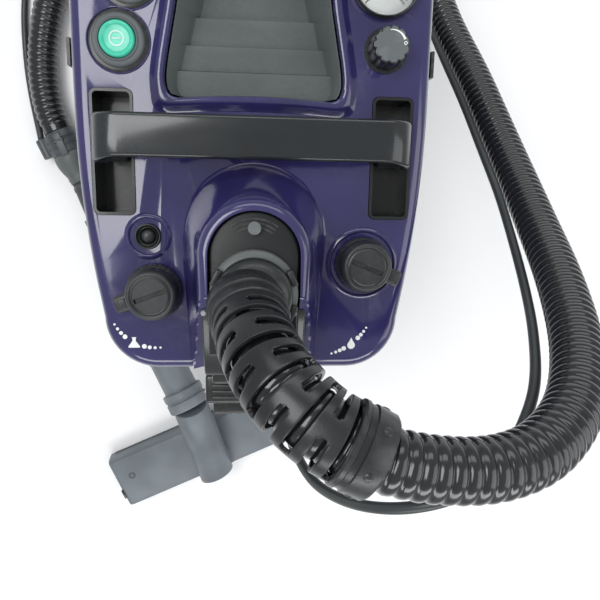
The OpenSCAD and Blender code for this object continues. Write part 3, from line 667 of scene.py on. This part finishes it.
def hose_elbow():
    base = revolve("elbow_base", at(0, INLET_Y, 552), UP, [
        (0, 19), (0, 35), (1, 36.6), (4, 37), (5, 36), (5.4, 35), (6, 19)], DARK, hollow=True)
    shelf = revolve("elbow_shelf", at(0, INLET_Y, 552), UP, [
        (5.6, 20), (5.6, 36), (7.4, 36.8), (9.6, 36.4), (10.8, 35.2), (12.8, 28.2), (13, 20)], SHELF, hollow=True)
    dome = revolve("elbow_dome", at(0, INLET_Y, 552), UP, [
        (12, 19), (12, 28.6), (14, 30.6), (18, 31.6), (22, 31.4), (26, 29.6), (30, 25.6), (31, 19)], DARK,
            hollow=True)
    start = Vector(HOSE_ROUTE[0])
    lead = (Vector(HOSE_ROUTE[1]) - start).normalized()
    neck = revolve("elbow_neck", at(*(start - lead * 24)), lead, [
        (0, 19), (0, 29), (4, 31), (13, 31), (14, 32), (20, 32), (21, 31), (24, 30.4), (24, 19)], DARK, hollow=True)
    lugs = []
    for a in (25, 155, 205, 335):
        lugs.append(block(f"elbow_lug{a}", (31.5, -7, 562), (36.8, 7, 572), DARK, 1.2, turned_about((0, INLET_Y), a)))
    return joined("hose_elbow_collared", [base, shelf, dome, neck, *lugs])


piece(hose_elbow(), "machine", "dark_plastic", "hose_elbow")


# ---------------------------------------------------------------- carry handle
def carry_handle():
    """Bowed flat grip that turns down over each well into a hub with a pin boss."""
    path = [(x, 503, 0, 1, 10, 38) for x in range(-112, 113, 8)]
    right = []
    for a in range(90, -1, -10):
        c, s = cos_sin(a)
        right.append((117.5 + 19.5 * c, 483.5 + 19.5 * s, c, s, 10 + 4.5 * (1 - a / 90),
            38 + 5 * math.sin(math.radians(90 - a)) ** 2))
    right += [(137, z, 1, 0, 14.6, 43 - (484 - z) * 0.3) for z in (476, 468, 458)]
    left = [(-x, z, -nx, nz, t, w) for x, z, nx, nz, t, w in reversed(right)]
    rings = []
    for x, z, nx, nz, t, w in left + path + right:
        ring = []
        for u, v in rounded(w, t, 3.6, 4):
            crown = 1.2 * (1 - (2 * u / w) ** 2) if v > 0 else 0
            ring.append(at(x + nx * (v + crown), 4 - w / 2 + u, z + nz * (v + crown)))
        rings.append(ring)
    grip = loft("handle_grip", rings, HANDLE)
    parts = [grip]
    for side in (-1, 1):
        hub = revolve(f"handle_hub{side}", at(side * 117, -18, 458), (side, 0, 0), [
            (0, 5.2), (0, 17.5), (1.5, 19), (19, 19), (20.6, 17.6), (21, 14), (19.6, 13), (19.6, 8), (21, 7), (21,
                5.2)], HANDLE,
            hollow=True)
        parts.append(hub)
    # Finger ridges under the grip
    for i in range(-4, 5):
        parts.append(block(f"grip_ridge{i}", (i * 18 - 5, -30, 496.6), (i * 18 + 5, 0, 499.4), HANDLE, 1.2))
    return joined("carry_handle_bowed", parts)


piece(carry_handle(), "handle", "handle_plastic", "carry_handle")


# ---------------------------------------------------------------- controls
def ring_bar_icon(name, p, z, mat):
    """A ring with a bar across it, standing 0.5 mm proud."""
    ring = revolve(f"{name}_ring", at(*p, z), UP, [(0, 5.2), (0.5, 5.3), (0.5, 6.7), (0, 6.8)], mat, sides=48,
        hollow=True)
    bar = block(f"{name}_bar", (p[0] - 3.8, p[1] - 0.7, z), (p[0] + 3.8, p[1] + 0.7, z + 0.5), mat, 0.2)
    return [ring, bar]


def push_button(name, p, body, node):
    cap = revolve(f"{name}_cap", at(*p, 455), UP, [
        (0, 18.6), (3, 18.6), (3.2, 15.6), (27.6, 15.6), (29.6, 15.0), (30.6, 14.0), (30.9, 13), (30.2, 12.2),
            (29.0, 11), (28.6, 6), (28.6, 0.02)],
        MINT, sides=72)
    return piece(joined(name, [cap, *ring_bar_icon(name, p, 483.7, MARK)]), body, "mint_plastic", node)


push_button("power_button_dished", POWER, "power_switch", "power_button")
push_button("pump_button_dished", PUMP, "pump_switch", "pump_button")

bezels = []
for i, p in enumerate((POWER, PUMP)):
    bezels.append(revolve(f"bezel{i}", at(*p, 463), UP, [
        (0, 16.2), (0, 19.7), (11.6, 19.7), (12, 22.4), (13.4, 23.2), (15.4, 22.9), (17.2, 21.6), (18, 20), (18.2,
            18.6), (19.4, 18),
        (20, 17.2), (19.6, 16.4), (17.5, 16.2)], GREY, sides=96, hollow=True))
    bezels.append(revolve(f"bezel_seal{i}", at(*p, 474.6), UP, [(0, 22), (0, 26.6), (0.7, 26.8), (1.2, 26), (1.3,
        22)],
                          BLACK, sides=96, hollow=True))
    bezels.append(revolve(f"bezel_lip{i}", at(*p, 474.6), UP, [(0, 26.4), (1.4, 26.6), (2, 27.2), (1.7, 28), (0,
        28.6)],
                          PURPLE, sides=96, hollow=True))
piece(joined("switch_bezels_rounded", bezels), "machine", "grey_plastic", "switch_bezels")


def gauge():
    case = revolve("gauge_shell", at(*GAUGE, 453), UP, [
        (0, 0.02), (0, 23.6), (21.6, 23.6), (22, 29), (23, 30.4), (29, 30.9), (32, 30.7), (33, 30), (33.2, 29.4),
            (32.4, 28.8),
        (31, 28.7), (24, 28.7), (24, 0.02)], BLACK, sides=80)
    return joined("gauge_case_turned", [case])


piece(gauge(), "machine", "black_plastic", "gauge_case")


def gauge_dial():
    disc = revolve("dial_disc", at(*GAUGE, 477), UP, [(0, 1.3), (0, 28.2), (0.3, 28.6), (1.2, 28.6), (1.5, 28.2),
        (1.5, 1.3)],
                   WHITE, sides=80, hollow=True)
    parts = [disc]

    def mark(name, angle, r0, r1, half, mat, z1=478.85):
        return block(name, (r0, -half, 478.3), (r1, half, z1), mat, 0, turned_about(GAUGE, angle))

    for i in range(31):
        long = i % 5 == 0
        parts.append(mark(f"tick{i}", 225 - i * 9, 19 if long else 21.5, 25, 0.45 if long else 0.22, BLACK))
    for i in range(12):
        parts.append(mark(f"zone{i}", 225 - 201 - i * 5.4, 16, 18, 0.85, RED, 478.75))
    for i in range(34):
        parts.append(mark(f"scale{i}", 225 - 6 - i * 5.6, 16.6, 17.4, 0.85, BLACK, 478.75))
    return joined("gauge_dial_printed", parts)


piece(gauge_dial(), "machine", "white_plastic", "gauge_dial")


def knob():
    def fluted(h, r, a):
        return r - 1.5 * (0.5 + 0.5 * math.cos(11 * a)) ** 3 if r > 12 and h > -20 else r

    body = revolve("knob_body", at(*KNOB, 462), UP, [
        (0, 3.9), (15.4, 3.9), (15.5, 16.6), (16.4, 17.4), (20, 17.2), (30, 16.8), (38.2, 16.4), (39.6, 15.8), (40,
            14.9), (40, 0.02)],
        BLACK, sides=176, radius_at=fluted)
    disc = revolve("knob_disc", at(*KNOB, 501.6), UP, [
        (0, 0.02), (0, 14.9), (0.7, 14.8), (1.1, 14.2), (0.9, 12), (0.7, 0.02)], GREY, sides=176, radius_at=fluted)
    wedge = []
    for i in range(13):
        a = 100 - i * 6.5
        half = 0.25 + 0.75 * i / 12
        c, s = cos_sin(a)
        wedge.append([at(KNOB[0] + (r * c), KNOB[1] + (r * s), z) for r, z in (
            (12 - half, 502.2), (12 + half, 502.2), (12 + half, 502.85), (12 - half, 502.85))])
    mark = revolve("knob_mark", at(KNOB[0] + 11.8, KNOB[1] + 1.4, 502.2), UP, [
        (0, 0.9), (0.7, 0.9), (0.7, 1.5), (0, 1.5)], WHITE, sides=24, hollow=True)
    return joined("regulator_knob_fluted", [body, disc, loft("knob_arc", wedge, WHITE), mark])


piece(knob(), "regulator", "black_plastic", "regulator_knob")


def reset_button():
    dome = revolve("reset_dome", at(*RESET, 459), UP, [
        (0, 9.5), (3, 9.5), (3.2, 6.5), (15, 6.5), (17.6, 6), (19.2, 4.8), (20.2, 3), (20.5, 0.02)], CAP, sides=64)
    ring = revolve("reset_foot", at(*RESET, 471), UP, [(0, 6.3), (1.8, 6.5), (2.2, 6.2), (2.4, 5.6), (0, 5.6)],
        DARK,
                   sides=64, hollow=True)
    return joined("reset_button_domed", [dome, ring])


piece(reset_button(), "reset_switch", "dark_plastic", "reset_button")

reset_ring = revolve("reset_ring_rounded", at(*RESET, 465), UP, [
    (0, 7), (0, 10.7), (9.6, 10.7), (10, 11.8), (12, 12), (13.2, 11.6), (13.4, 11), (13, 10.4), (11.4, 10), (10.6,
        8.4), (10, 7)],
    BLACK, sides=72, hollow=True)
piece(reset_ring, "machine", "black_plastic", "reset_ring")


def filler_cap(name, p, lug_angle, body, node):
    """Quarter-turn cap: fluted skirt, a coin slot across the top, and the lug that turns it."""
    place = turned_about(p, lug_angle)

    def fluted(h, r, a):
        return r - 0.7 * max(0.0, math.cos(18 * a)) ** 4 if 12 < h < 33 and r > 20 else r

    body_mesh = revolve(f"{name}_body", at(*p, 463), UP, [
        (0, 0.02), (0, 15.6), (1, 16.6), (14, 16.6), (14.1, 25.4), (15, 26.4), (20, 26.4), (22, 25.6), (23, 24.4),
            (34, 24),
        (38, 23.4), (40.2, 22.2), (41.4, 20.8), (41.6, 19.8), (41.2, 18.8), (40.4, 18.2), (40.6, 17), (41.4, 16),
            (41.4, 0.02)], CAP, sides=144, radius_at=fluted)

    cut(body_mesh, [block(f"{name}_slot", (-15.5, -2.1, 500.8), (15.5, 2.1, 508), CAP, 0, place)])
    floor_strip = block(f"{name}_slot_floor", (-15.3, -2, 500.2), (15.3, 2, 501.2), BLACK, 0, place)
    lug = block(f"{name}_lug", (20, -8, 478), (38, 8, 489), CAP, 3, place)
    grip = block(f"{name}_grip", (26, -5, 487), (34, 5, 490), CAP, 1.2, place)
    return piece(joined(name, [body_mesh, floor_strip, lug, grip]), body, "dark_plastic", node)


filler_cap("chemical_cap_fluted", CHEMICAL, 200, "chemical_cap", "chemical_cap")
filler_cap("water_cap_fluted", WATER, -22, "water_cap", "water_cap")


# Pictograms beside the caps: a flask for chemical and a drop for clean water, each with an arc of dots
def flat_mark(name, points):
    return prism(name, points, TOP - 0.15, TOP + 0.35, WHITE)


def curved_marks(name, points, radii):
    """Small round marks at even steps on the circle through three points."""
    (ax, ay), (bx, by), (cx, cy) = points
    d = 2 * (ax * (by - cy) + bx * (cy - ay) + cx * (ay - by))
    a2, b2, c2 = ax * ax + ay * ay, bx * bx + by * by, cx * cx + cy * cy
    ux = (a2 * (by - cy) + b2 * (cy - ay) + c2 * (ay - by)) / d
    uy = (a2 * (cx - bx) + b2 * (ax - cx) + c2 * (bx - ax)) / d
    r = math.hypot(ax - ux, ay - uy)
    start = math.degrees(math.atan2(ay - uy, ax - ux))
    turn = (math.degrees(math.atan2(cy - uy, cx - ux)) - start + 180) % 360 - 180
    marks = []
    for i, size in enumerate(radii):
        a = math.radians(start + turn * i / (len(radii) - 1))
        x, y = ux + r * math.cos(a), uy + r * math.sin(a)
        if size:
            marks.append(flat_mark(f"{name}{i}", arc(x, y, size, 0, 345, 23)))
    middle = math.radians(start + turn / 2)
    return marks, (ux + r * math.cos(middle), uy + r * math.sin(middle))


def pictograms():
    dots = (1.1, 1.5, 1.9, 2.3, 0, 0, 0, 2.3, 1.9, 1.5, 1.1)
    marks, (fx, fy) = curved_marks("chemical_dot", ((-133, -190), (-117, -207), (-90, -213)), dots)
    flask = [(-5.2, -5), (5.2, -5), (5.6, -3.8), (1.6, 1.6), (1.6, 4.6), (2.4, 5.4), (-2.4, 5.4), (-1.6, 4.6),
        (-1.6, 1.6), (-5.6, -3.8)]
    marks.append(flat_mark("chemical_flask", [(fx + x, fy + y) for x, y in flask]))
    more, (dx, dy) = curved_marks("water_dot", ((78, -219.5), (93, -212.5), (112, -193)), dots)
    drop = arc(dx, dy - 1.6, 3.8, -205, 25, 14) + [(dx + 1.4, dy + 3.4), (dx, dy + 6.4), (dx - 1.4, dy + 3.4)]
    marks += [*more, flat_mark("water_drop", drop)]
    return joined("cap_pictograms", marks)


piece(pictograms(), "machine", "white_plastic")


# ---------------------------------------------------------------- tray and wells
def tray():
    """Deep tray: its floor steps down to the rear, and its side walls lean in towards the floor."""
    lines = [(20, 470), (21, 461), (46, 459), (47.5, 453.5), (70, 451.5), (71.5, 445.5), (96, 443.5), (97.5, 436.5),
             (124, 431), (150, 431), (186, 445), (188, 462)]
    edge = densified(tray_outline(-0.5))
    half_at = np.array([[y, x] for x, y in edge if x > 56 or y > 150 and x > 0])
    half_at = half_at[half_at[:, 0].argsort()]
    stations = []
    for y in sorted({y for y, _ in lines} | set(np.arange(24, 188, 4.0))):
        if 20.9 < y < 187.5:
            z = float(np.interp(y, [a for a, _ in lines], [b for _, b in lines]))
            w = float(np.interp(y, half_at[:, 0], half_at[:, 1]))
            lean = min(w - 12, 1.6 + 0.42 * (472 - z))
            half = [(w, z - 3), (w, 471), (w - 0.6, 472), (w - 1.6, 471.4), (w - lean, z + 2), (w - lean - 2, z),
                (0, z)]
            stations.append([at(x, y, zz) for x, zz in half + [(-x, zz) for x, zz in half[-2::-1]]])
    return joined("tray_liner_stepped", [loft("tray_trough", stations, TRAY)])


piece(tray(), "machine", "grey_plastic", "tray_liner")


def dress(mat, names, bevel=0.8, angle=32):
    """A CAD node whose shape is right keeps it, with rounded edges and a finish."""
    for name in names.split():
        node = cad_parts[name]
        for p in range(len(node.data.materials)):
            node.data.materials[p] = mat
        if not node.data.materials:
            node.data.materials.append(mat)
        soften(node, bevel, angle=angle, weld=True)


dress(BLACK, "handle_wells", 1.0)
dress(BLACK, "valve_body cord_gland", 0.8)
dress(DARK, "regulator_seat filler_necks latch_left latch_right drain_spigot exhaust_grille", 0.7)
dress(DARK, "caster_fork_left caster_fork_right", 0.8)
dress(GREY, "inlet_latch valve_trigger water_pump motor_fan", 0.6)
dress(STEEL, "handle_pins vacuum_motor rear_axle caster_plates tube_coupler", 0.5)
dress(TANK, "solution_tank chemical_tank recovery_tank", 2.0)
dress(BLACK, "inlet_pipe", 0.5)
dress(BLACK, "gauge_needle", 0.15)
dress(WHITE, "float_ball", 0)
dress(LENS, "gauge_lens", 0.3)
dress(RIM, "rear_rim_left rear_rim_right", 1.0)


# ---------------------------------------------------------------- body, chassis and wheels
def mid_body():
    """Shell under the casing: belt groove at the top, drawn-in waist, side grips and an opening at the rear."""
    profile = [(205, 14), (206.5, 9.5), (210, 6.4), (216, 4.6), (226, 4), (300, 4), (396, 4), (399, 4.6), (426,
        4.6), (429, 6.6),
               (433, 6.6), (436, 6.6)]
    shell = loft("mid_shell", stacked(profile), PURPLE)
    hollow = loft("mid_hollow", stacked(((210, 18), (214, 10.6), (440, 10.6))), PURPLE)
    cutters = [hollow]
    for name, low, high in (("floor", (-60, -205, 200), (120, -10, 212)), ("grille_bay", (-75, 220, 300), (75, 260,
        360))):
        cutters.append(block(name, low, high, PURPLE, 0))
    cutters.append(revolve("gland_hole", at(-95, 215, 240), (0, 1, 0), [(0, 9), (40, 9)], PURPLE))
    cutters.append(revolve("spigot_hole", at(60, 215, 236), (0, 1, 0), [(0, 16), (40, 16)], PURPLE))
    # Long finger recess along each side and a short latch recess above it; three low ribs round the lower body come
    # after the cut
    for side in (-1, 1):
        cutters.append(prism("side_recess", rounded(10, 150, 2, cx=side * 163.5, cy=60), 318, 352, PURPLE))
        cutters.append(prism("latch_recess", rounded(3, 30, 1, cx=side * 160.2, cy=60), 418, 437, PURPLE))
    cut(shell, cutters)
    soften(shell, 1.3, angle=38)
    parts = [shell]
    for z in (238, 250, 262):
        ring = stacked(((z - 2.6, 4.4), (z - 1.8, 3.2), (z, 2.6), (z + 1.8, 3.2), (z + 2.6, 4.4)))
        ring.append(ring[0])
        parts.append(loft(f"body_rib{z}", ring, PURPLE, caps=False))
    for side in (-1, 1):
        for y in (44, 76):
            x = side * 164.5
            lug = block(f"hinge_lug{side}{y}", (x - 5.5, y - 2.5, 402), (x + 5.5, y + 2.5, 414), PURPLE, 0)
            cut(lug, [revolve("lug_hole", at(side * 167, y - 5, 408), (0, 1, 0), [(0, 2), (10, 2)], PURPLE, sides=24)])
            parts.append(soften(lug, 1.2))
    belt = stacked(((429, 6.4), (429.6, 4.9), (435.4, 4.9), (436, 6.4)))
    belt.append(belt[0])
    parts.append(loft("belt_seal", belt, BLACK, caps=False))
    return joined("mid_body_moulded", parts)


piece(mid_body(), "machine", "purple_shell", "mid_body")


def chassis():
    """Black pan with rolled lower edge, stiffening ribs, wheel bosses, a bumper and a louvred front."""
    base = [(-104, -212), (104, -212), (126, -190), (126, 200), (112, 214), (-112, 214), (-126, 200), (-126, -190)]

    def inset(points, d):
        return [(x - math.copysign(d, x), y - math.copysign(d, y)) for x, y in points]

    rings = [[at(x, y, z) for x, y in inset(base, d)] for z, d in (
        (70, 7), (71, 3.5), (74, 1), (78, 0), (204, 0), (205, 0.6), (205, 4.4), (204, 5), (82, 5), (77, 7), (76,
            12))]
    pan = loft("pan", rings, BLACK)
    cut(pan, [revolve("axle_bore", at(-200, AXLE_Y, AXLE_Z), (1, 0, 0), [(0, 7), (400, 7)], BLACK)])
    parts = [soften(pan, 2.0, angle=28)]
    for side in (-1, 1):
        for y in range(-150, 100, 50):
            parts.append(block(f"rib{side}{y}", (side * 125 - 3.2, y - 3, 84), (side * 125 + 3.2, y + 3, 198),
                BLACK, 1.6))
        parts.append(revolve(f"boss{side}", at(side * 125, AXLE_Y, AXLE_Z), (side, 0, 0), [
            (0, 7.05), (0, 26), (2, 25), (3, 17), (5, 16), (5.4, 14), (5.4, 7.05)], BLACK, hollow=True))
        parts.append(block(f"skirt{side}", (side * 127.5 - 3, -170, 120), (side * 127.5 + 3, 60, 128), DARK, 2))
    for i, z in enumerate(range(96, 186, 12)):
        parts.append(block(f"louvre{i}", (-82, -214.4, z), (82, -209, z + 5), BLACK, 1.6))
    bumper = [[at(x, y, z) for x, y in inset(base, d)] for d, z in ((1, 186), (-2.4, 187), (-3.4, 190), (-3.4,
        197), (-2.4, 200), (1, 201))]
    bumper.append(bumper[0])
    parts.append(soften(loft("bumper", bumper, DARK, caps=False), 1.0))
    return joined("chassis_pan", parts)


piece(chassis(), "machine", "black_plastic", "chassis")


def rear_tyre(side):
    """Tyre with a rounded shoulder and a block tread."""
    def tread(h, r, a):
        if r < 91:
            return r
        lane = 0 if h < 15 else math.pi / 30
        return r - (2.6 if math.sin(30 * (a + lane)) < -0.35 else 0) - (1.6 if 13.6 < h < 16.4 else 0)

    start = at(side * 131, AXLE_Y, AXLE_Z)
    profile = [(1, 77), (0.6, 80), (0, 84), (0.4, 88), (2.4, 92), (4.5, 94.4), (7, 95), (13, 95), (13.8, 95),
        (16.2, 95), (17, 95),
               (23, 95), (25.5, 94.4), (27.6, 92), (29.6, 88), (30, 84), (29.4, 80), (29, 77)]
    name = "left" if side < 0 else "right"
    tyre = revolve(f"rear_tyre_{name}_treaded", start, (side, 0, 0), profile, RUBBER, sides=360, radius_at=tread,
        hollow=True)
    return piece(joined(f"rear_tyre_{name}_treaded", [tyre]), f"rear_wheel_{name}", "tyre_rubber",
        f"rear_tyre_{name}")


def hub_cap(side):
    name = "left" if side < 0 else "right"
    cap = revolve(f"hub_{name}", at(side * 159, AXLE_Y, AXLE_Z), (side, 0, 0), [
        (-1, 0.02), (-1, 12), (0, 19), (3, 19), (5, 17.5), (6.2, 14), (6.4, 8), (5.6, 6.8), (5.6, 0.02)], DARK)
    bolts = []
    for a in range(0, 360, 60):
        c, s = cos_sin(a + 30)
        bolts.append(revolve(f"hub_stud{a}", at(side * 158.6, AXLE_Y + 25.5 * c, AXLE_Z + 25.5 * s), (side, 0, 0),
                             [(-14, 2.6), (-0.5, 2.6), (0.4, 2.2), (0.5, 0.02)], STEEL, sides=16))
    return piece(joined(f"hub_cap_{name}", [cap, *bolts]), f"rear_wheel_{name}", "wheel_plastic")


def caster_wheel(side):
    name = "left" if side < 0 else "right"
    x = side * CASTER_X
    tread = revolve(f"caster_tread_{name}", at(x - 10, CASTER_Y, CASTER_Z), (1, 0, 0), [
        (0.4, 15), (0, 19), (0.6, 22), (2.4, 24.2), (5, 25), (9, 25), (9.4, 24.2), (10.6, 24.2), (11, 25), (15,
            25), (17.6, 24.2),
        (19.4, 22), (20, 19), (19.6, 15)], RUBBER, hollow=True)
    core = revolve(f"caster_core_{name}", at(x - 9.6, CASTER_Y, CASTER_Z), (1, 0, 0), [
        (0, 3.06), (0, 6.4), (2.6, 7.4), (3.2, 12.6), (0.6, 14.2), (0, 15.2), (19.2, 15.2), (18.6, 14.2), (16,
            12.6), (16.6, 7.4), (19.2, 6.4),
        (19.2, 3.06)], RIM, hollow=True)
    return piece(joined(f"caster_wheel_{name}_turned", [tread, core]), f"caster_{name}_wheel", "tyre_rubber",
        f"caster_wheel_{name}")


for side in (-1, 1):
    rear_tyre(side)
    hub_cap(side)
    caster_wheel(side)


# ---------------------------------------------------------------- hand tool
piece(tool_bar("wand_adapter_cone", 36, 26, 84, 26, [
    (0, 14), (0, 24.4), (2, 26), (8, 26.4), (16, 25.8), (24, 24), (32, 21), (37, 19.4), (38, 19.9), (42, 19.9),
        (44, 19.2), (48, 19), (48, 14)],
    SHELF, hollow=True),
    "machine", "grey_plastic", "wand_adapter")

pipe_profile = [(0, 14), (0, 17.5), (8, 17.5), (9, 18.6), (14, 18.6), (15, 17.5), (150, 17.5), (151, 18.4), (156,
    18.4), (157, 17.5),
                (171.2, 17.5), (171.2, 14)]
piece(tool_bar("wand_tube_banded", 84, 26, 250, 68, pipe_profile, TOOL_DARK, hollow=True), "machine",
    "dark_plastic", "wand_tube")


def tool_rod(name, start, end, profile, mat):
    """A revolved piece between two places given as (along the tool, to its left, up)."""
    a, b = on_tool(*start), on_tool(*end)
    return revolve(name, a, b - a, profile, mat)


PIPE_START, PIPE_END, COLLAR_START = (240, 0, 65), (458, 12, 98), (452, 11.7, 97.1)
NECK_START, NECK_END, SHOE_MIDDLE, SHOE_HALF = (484, 13.4, 99), (634, -10, 44), -10, 171
pipe_main = tool_rod("pipe_main", PIPE_START, PIPE_END, [
    (0, 17.6), (0, 22.8), (1.5, 24), (12, 24.4), (13, 25.6), (18, 25.6), (19, 24.8), (150, 26.6), (152, 28.2),
        (158, 28.2), (160, 26.8),
    (218, 27.4), (218, 20.6), (8, 20.6), (8, 17.6)], TOOL)
pipe_collar = tool_rod("pipe_collar", COLLAR_START, (484, 13.4, 101.9), [
    (0, 26), (0, 31.6), (1.4, 33), (11, 33), (12.4, 31.4), (15.6, 31.4), (17, 33.2), (30, 33.2), (32.4, 31.6),
        (32.4, 21), (12, 21),
    (12, 26)], TOOL)
collar_screw = revolve("collar_screw", on_tool(470, 42, 100), LEFT, [(0, 5), (4.4, 5), (5.6, 4.2), (5.6, 1.4),
    (4.6, 0.9), (4.6, 0.02)], STEEL,
                       sides=24)
piece(joined("tool_pipe_collared", [pipe_main, pipe_collar, collar_screw]), "machine", "tool_plastic", "tool_pipe")


def nozzle():
    """Floor nozzle: a crowned shoe with an open mouth and a glide lip, and a neck that flares down onto it."""
    def section(left, scale, lift):
        # Across the shoe, from the back lip over the crown to the front lip, then back inside
        s0, s1 = 540 + 2 * (1 - scale), 636 - 2 * (1 - scale)
        top = 36 * scale
        outer = [(s0, 0), (s0, 3), (s0 + 1, 22), (s0 + 2, top - 5), (s0 + 5, top - 1), (s0 + 10, top + lift),
            (s1 - 10, top + lift),
                 (s1 - 5, top - 1), (s1 - 2, top - 5), (s1 - 1, 22), (s1, 3), (s1, 0)]
        inner = [(s1 - 6, 0), (s1 - 7, 20), (s1 - 12, top - 7), (s0 + 12, top - 7), (s0 + 7, 20), (s0 + 6, 0)]
        return [on_tool(s, left, z) for s, z in outer + inner]

    ends = [(0, 0.8, -1), (1, 0.92, -0.5), (3.5, 0.98, 0), (9, 1, 0), (80, 1, 0)]
    stations = [(SHOE_MIDDLE - SHOE_HALF + d, scale, lift) for d, scale, lift in ends]
    stations += [(SHOE_MIDDLE + SHOE_HALF - d, scale, lift) for d, scale, lift in reversed(ends)]
    shoe = loft("shoe", [section(*st) for st in stations], TOOL)
    parts = [soften(shoe, 1.0, angle=40)]
    for side in (-1, 1):
        left = SHOE_MIDDLE + side * (SHOE_HALF - 3)
        parts.append(block(f"shoe_end{side}", (545, left - 2.4, 2), (631, left + 2.4, 29), TOOL, 2, on_tool))
    # Neck: a straight round pipe that runs down into the shoe, with a soft fillet where they meet
    neck = tool_rod("neck", NECK_START, (652, -12.8, 37.4), [(0, 22), (0, 28), (1.4, 29), (60, 29.4), (150, 30),
        (181, 30.4)], TOOL)
    cut(neck, [block("neck_trim", (480, -120, -60), (720, 120, 22), TOOL, 0, on_tool),
               block("neck_front", (635.6, -120, -20), (720, 120, 140), TOOL, 0, on_tool)])
    parts.append(soften(neck, 2.4, angle=45))
    fillet = []
    for i in range(13):
        t = i / 12
        s = 546 + 86 * t
        left = NECK_START[1] + (NECK_END[1] - NECK_START[1]) * (s - 484) / 150
        z = NECK_START[2] + (NECK_END[2] - NECK_START[2]) * (s - 484) / 150
        half = math.sqrt(max(30.4**2 - max(0, z - 36) ** 2, 8**2))
        fillet.append([on_tool(s, left + q, zz) for q, zz in (
            (-half - 5, 35), (-half - 4.6, 36.3), (-half - 1.6, 37.2), (-half + 1.4, 40), (-half + 4, 42),
            (half - 4, 42), (half - 1.4, 40), (half + 1.6, 37.2), (half + 4.6, 36.3), (half + 5, 35))])
    parts.append(loft("neck_fillet", fillet, TOOL))
    # Glide lip, back lip, and a dimple and a slot at each end of the shoe
    parts.append(block("glide_lip", (632.6, -172, 1), (637.4, 152, 7), TOOL_DARK, 1.6, on_tool))
    parts.append(block("back_lip", (538.6, -172, 1), (543, 152, 6), TOOL_DARK, 1.4, on_tool))
    for side in (-1, 1):
        left = SHOE_MIDDLE + side * (SHOE_HALF - 30)
        parts.append(revolve(f"shoe_dimple{side}", on_tool(580, left, 35.2), UP, [
            (0, 3), (0.9, 3), (1.3, 4), (1.3, 5.4), (0.9, 6.2), (0, 6.4)], TOOL_DARK, sides=40, hollow=True))
        left = SHOE_MIDDLE + side * (SHOE_HALF - 1.4)
        parts.append(block(f"shoe_slot{side}", (599, left - 2.2, 22), (616, left + 2.2, 36.4), BLACK, 0.8, on_tool))
    return joined("nozzle_body_moulded", parts)


piece(nozzle(), "machine", "tool_plastic", "nozzle_body")


# ---------------------------------------------------------------- stage
def floor():
    mesh = bpy.data.meshes.new("floor")
    size = 6
    mesh.from_pydata([(-size, -size, 0), (size, -size, 0), (size, size, 0), (-size, size, 0)], [], [(0, 1, 2, 3)])
    o = bpy.data.objects.new("floor", mesh)
    o.location.z = -0.0005
    bpy.context.collection.objects.link(o)
    m = bpy.data.materials.new("floor_pale")
    m.use_nodes = True
    shader = m.node_tree.nodes["Principled BSDF"]
    shader.inputs["Base Color"].default_value = (0.94, 0.94, 0.94, 1)
    shader.inputs["Roughness"].default_value = 0.6
    mesh.materials.append(m)


floor()


def softbox(name, place, aim, size, power, tall=None):
    light = bpy.data.objects.new(name, bpy.data.lights.new(name, "AREA"))
    light.data.shape = "RECTANGLE"
    light.data.size, light.data.size_y, light.data.energy = size, tall or size, power
    light.location = at(*place)
    light.rotation_euler = (at(*aim) - at(*place)).to_track_quat("-Z", "Y").to_euler()
    bpy.context.collection.objects.link(light)


softbox("key", (-900, 300, 2300), (0, -50, 400), 1.4, 24, 1.0)
softbox("fill", (1700, -500, 1700), (60, -60, 300), 1.6, 13)
softbox("front_strip", (100, -1700, 1500), (40, -150, 450), 2.2, 17, 0.5)
softbox("rear", (200, 1900, 1700), (0, 100, 300), 2.4, 13, 0.8)

world = bpy.data.worlds.new("studio")
world.use_nodes = True
world.node_tree.nodes["Background"].inputs["Color"].default_value = (0.95, 0.97, 1.0, 1)
world.node_tree.nodes["Background"].inputs["Strength"].default_value = 0.5
bpy.context.scene.world = world
bpy.context.scene.view_settings.view_transform = "Standard"

bpy.context.view_layer.update()
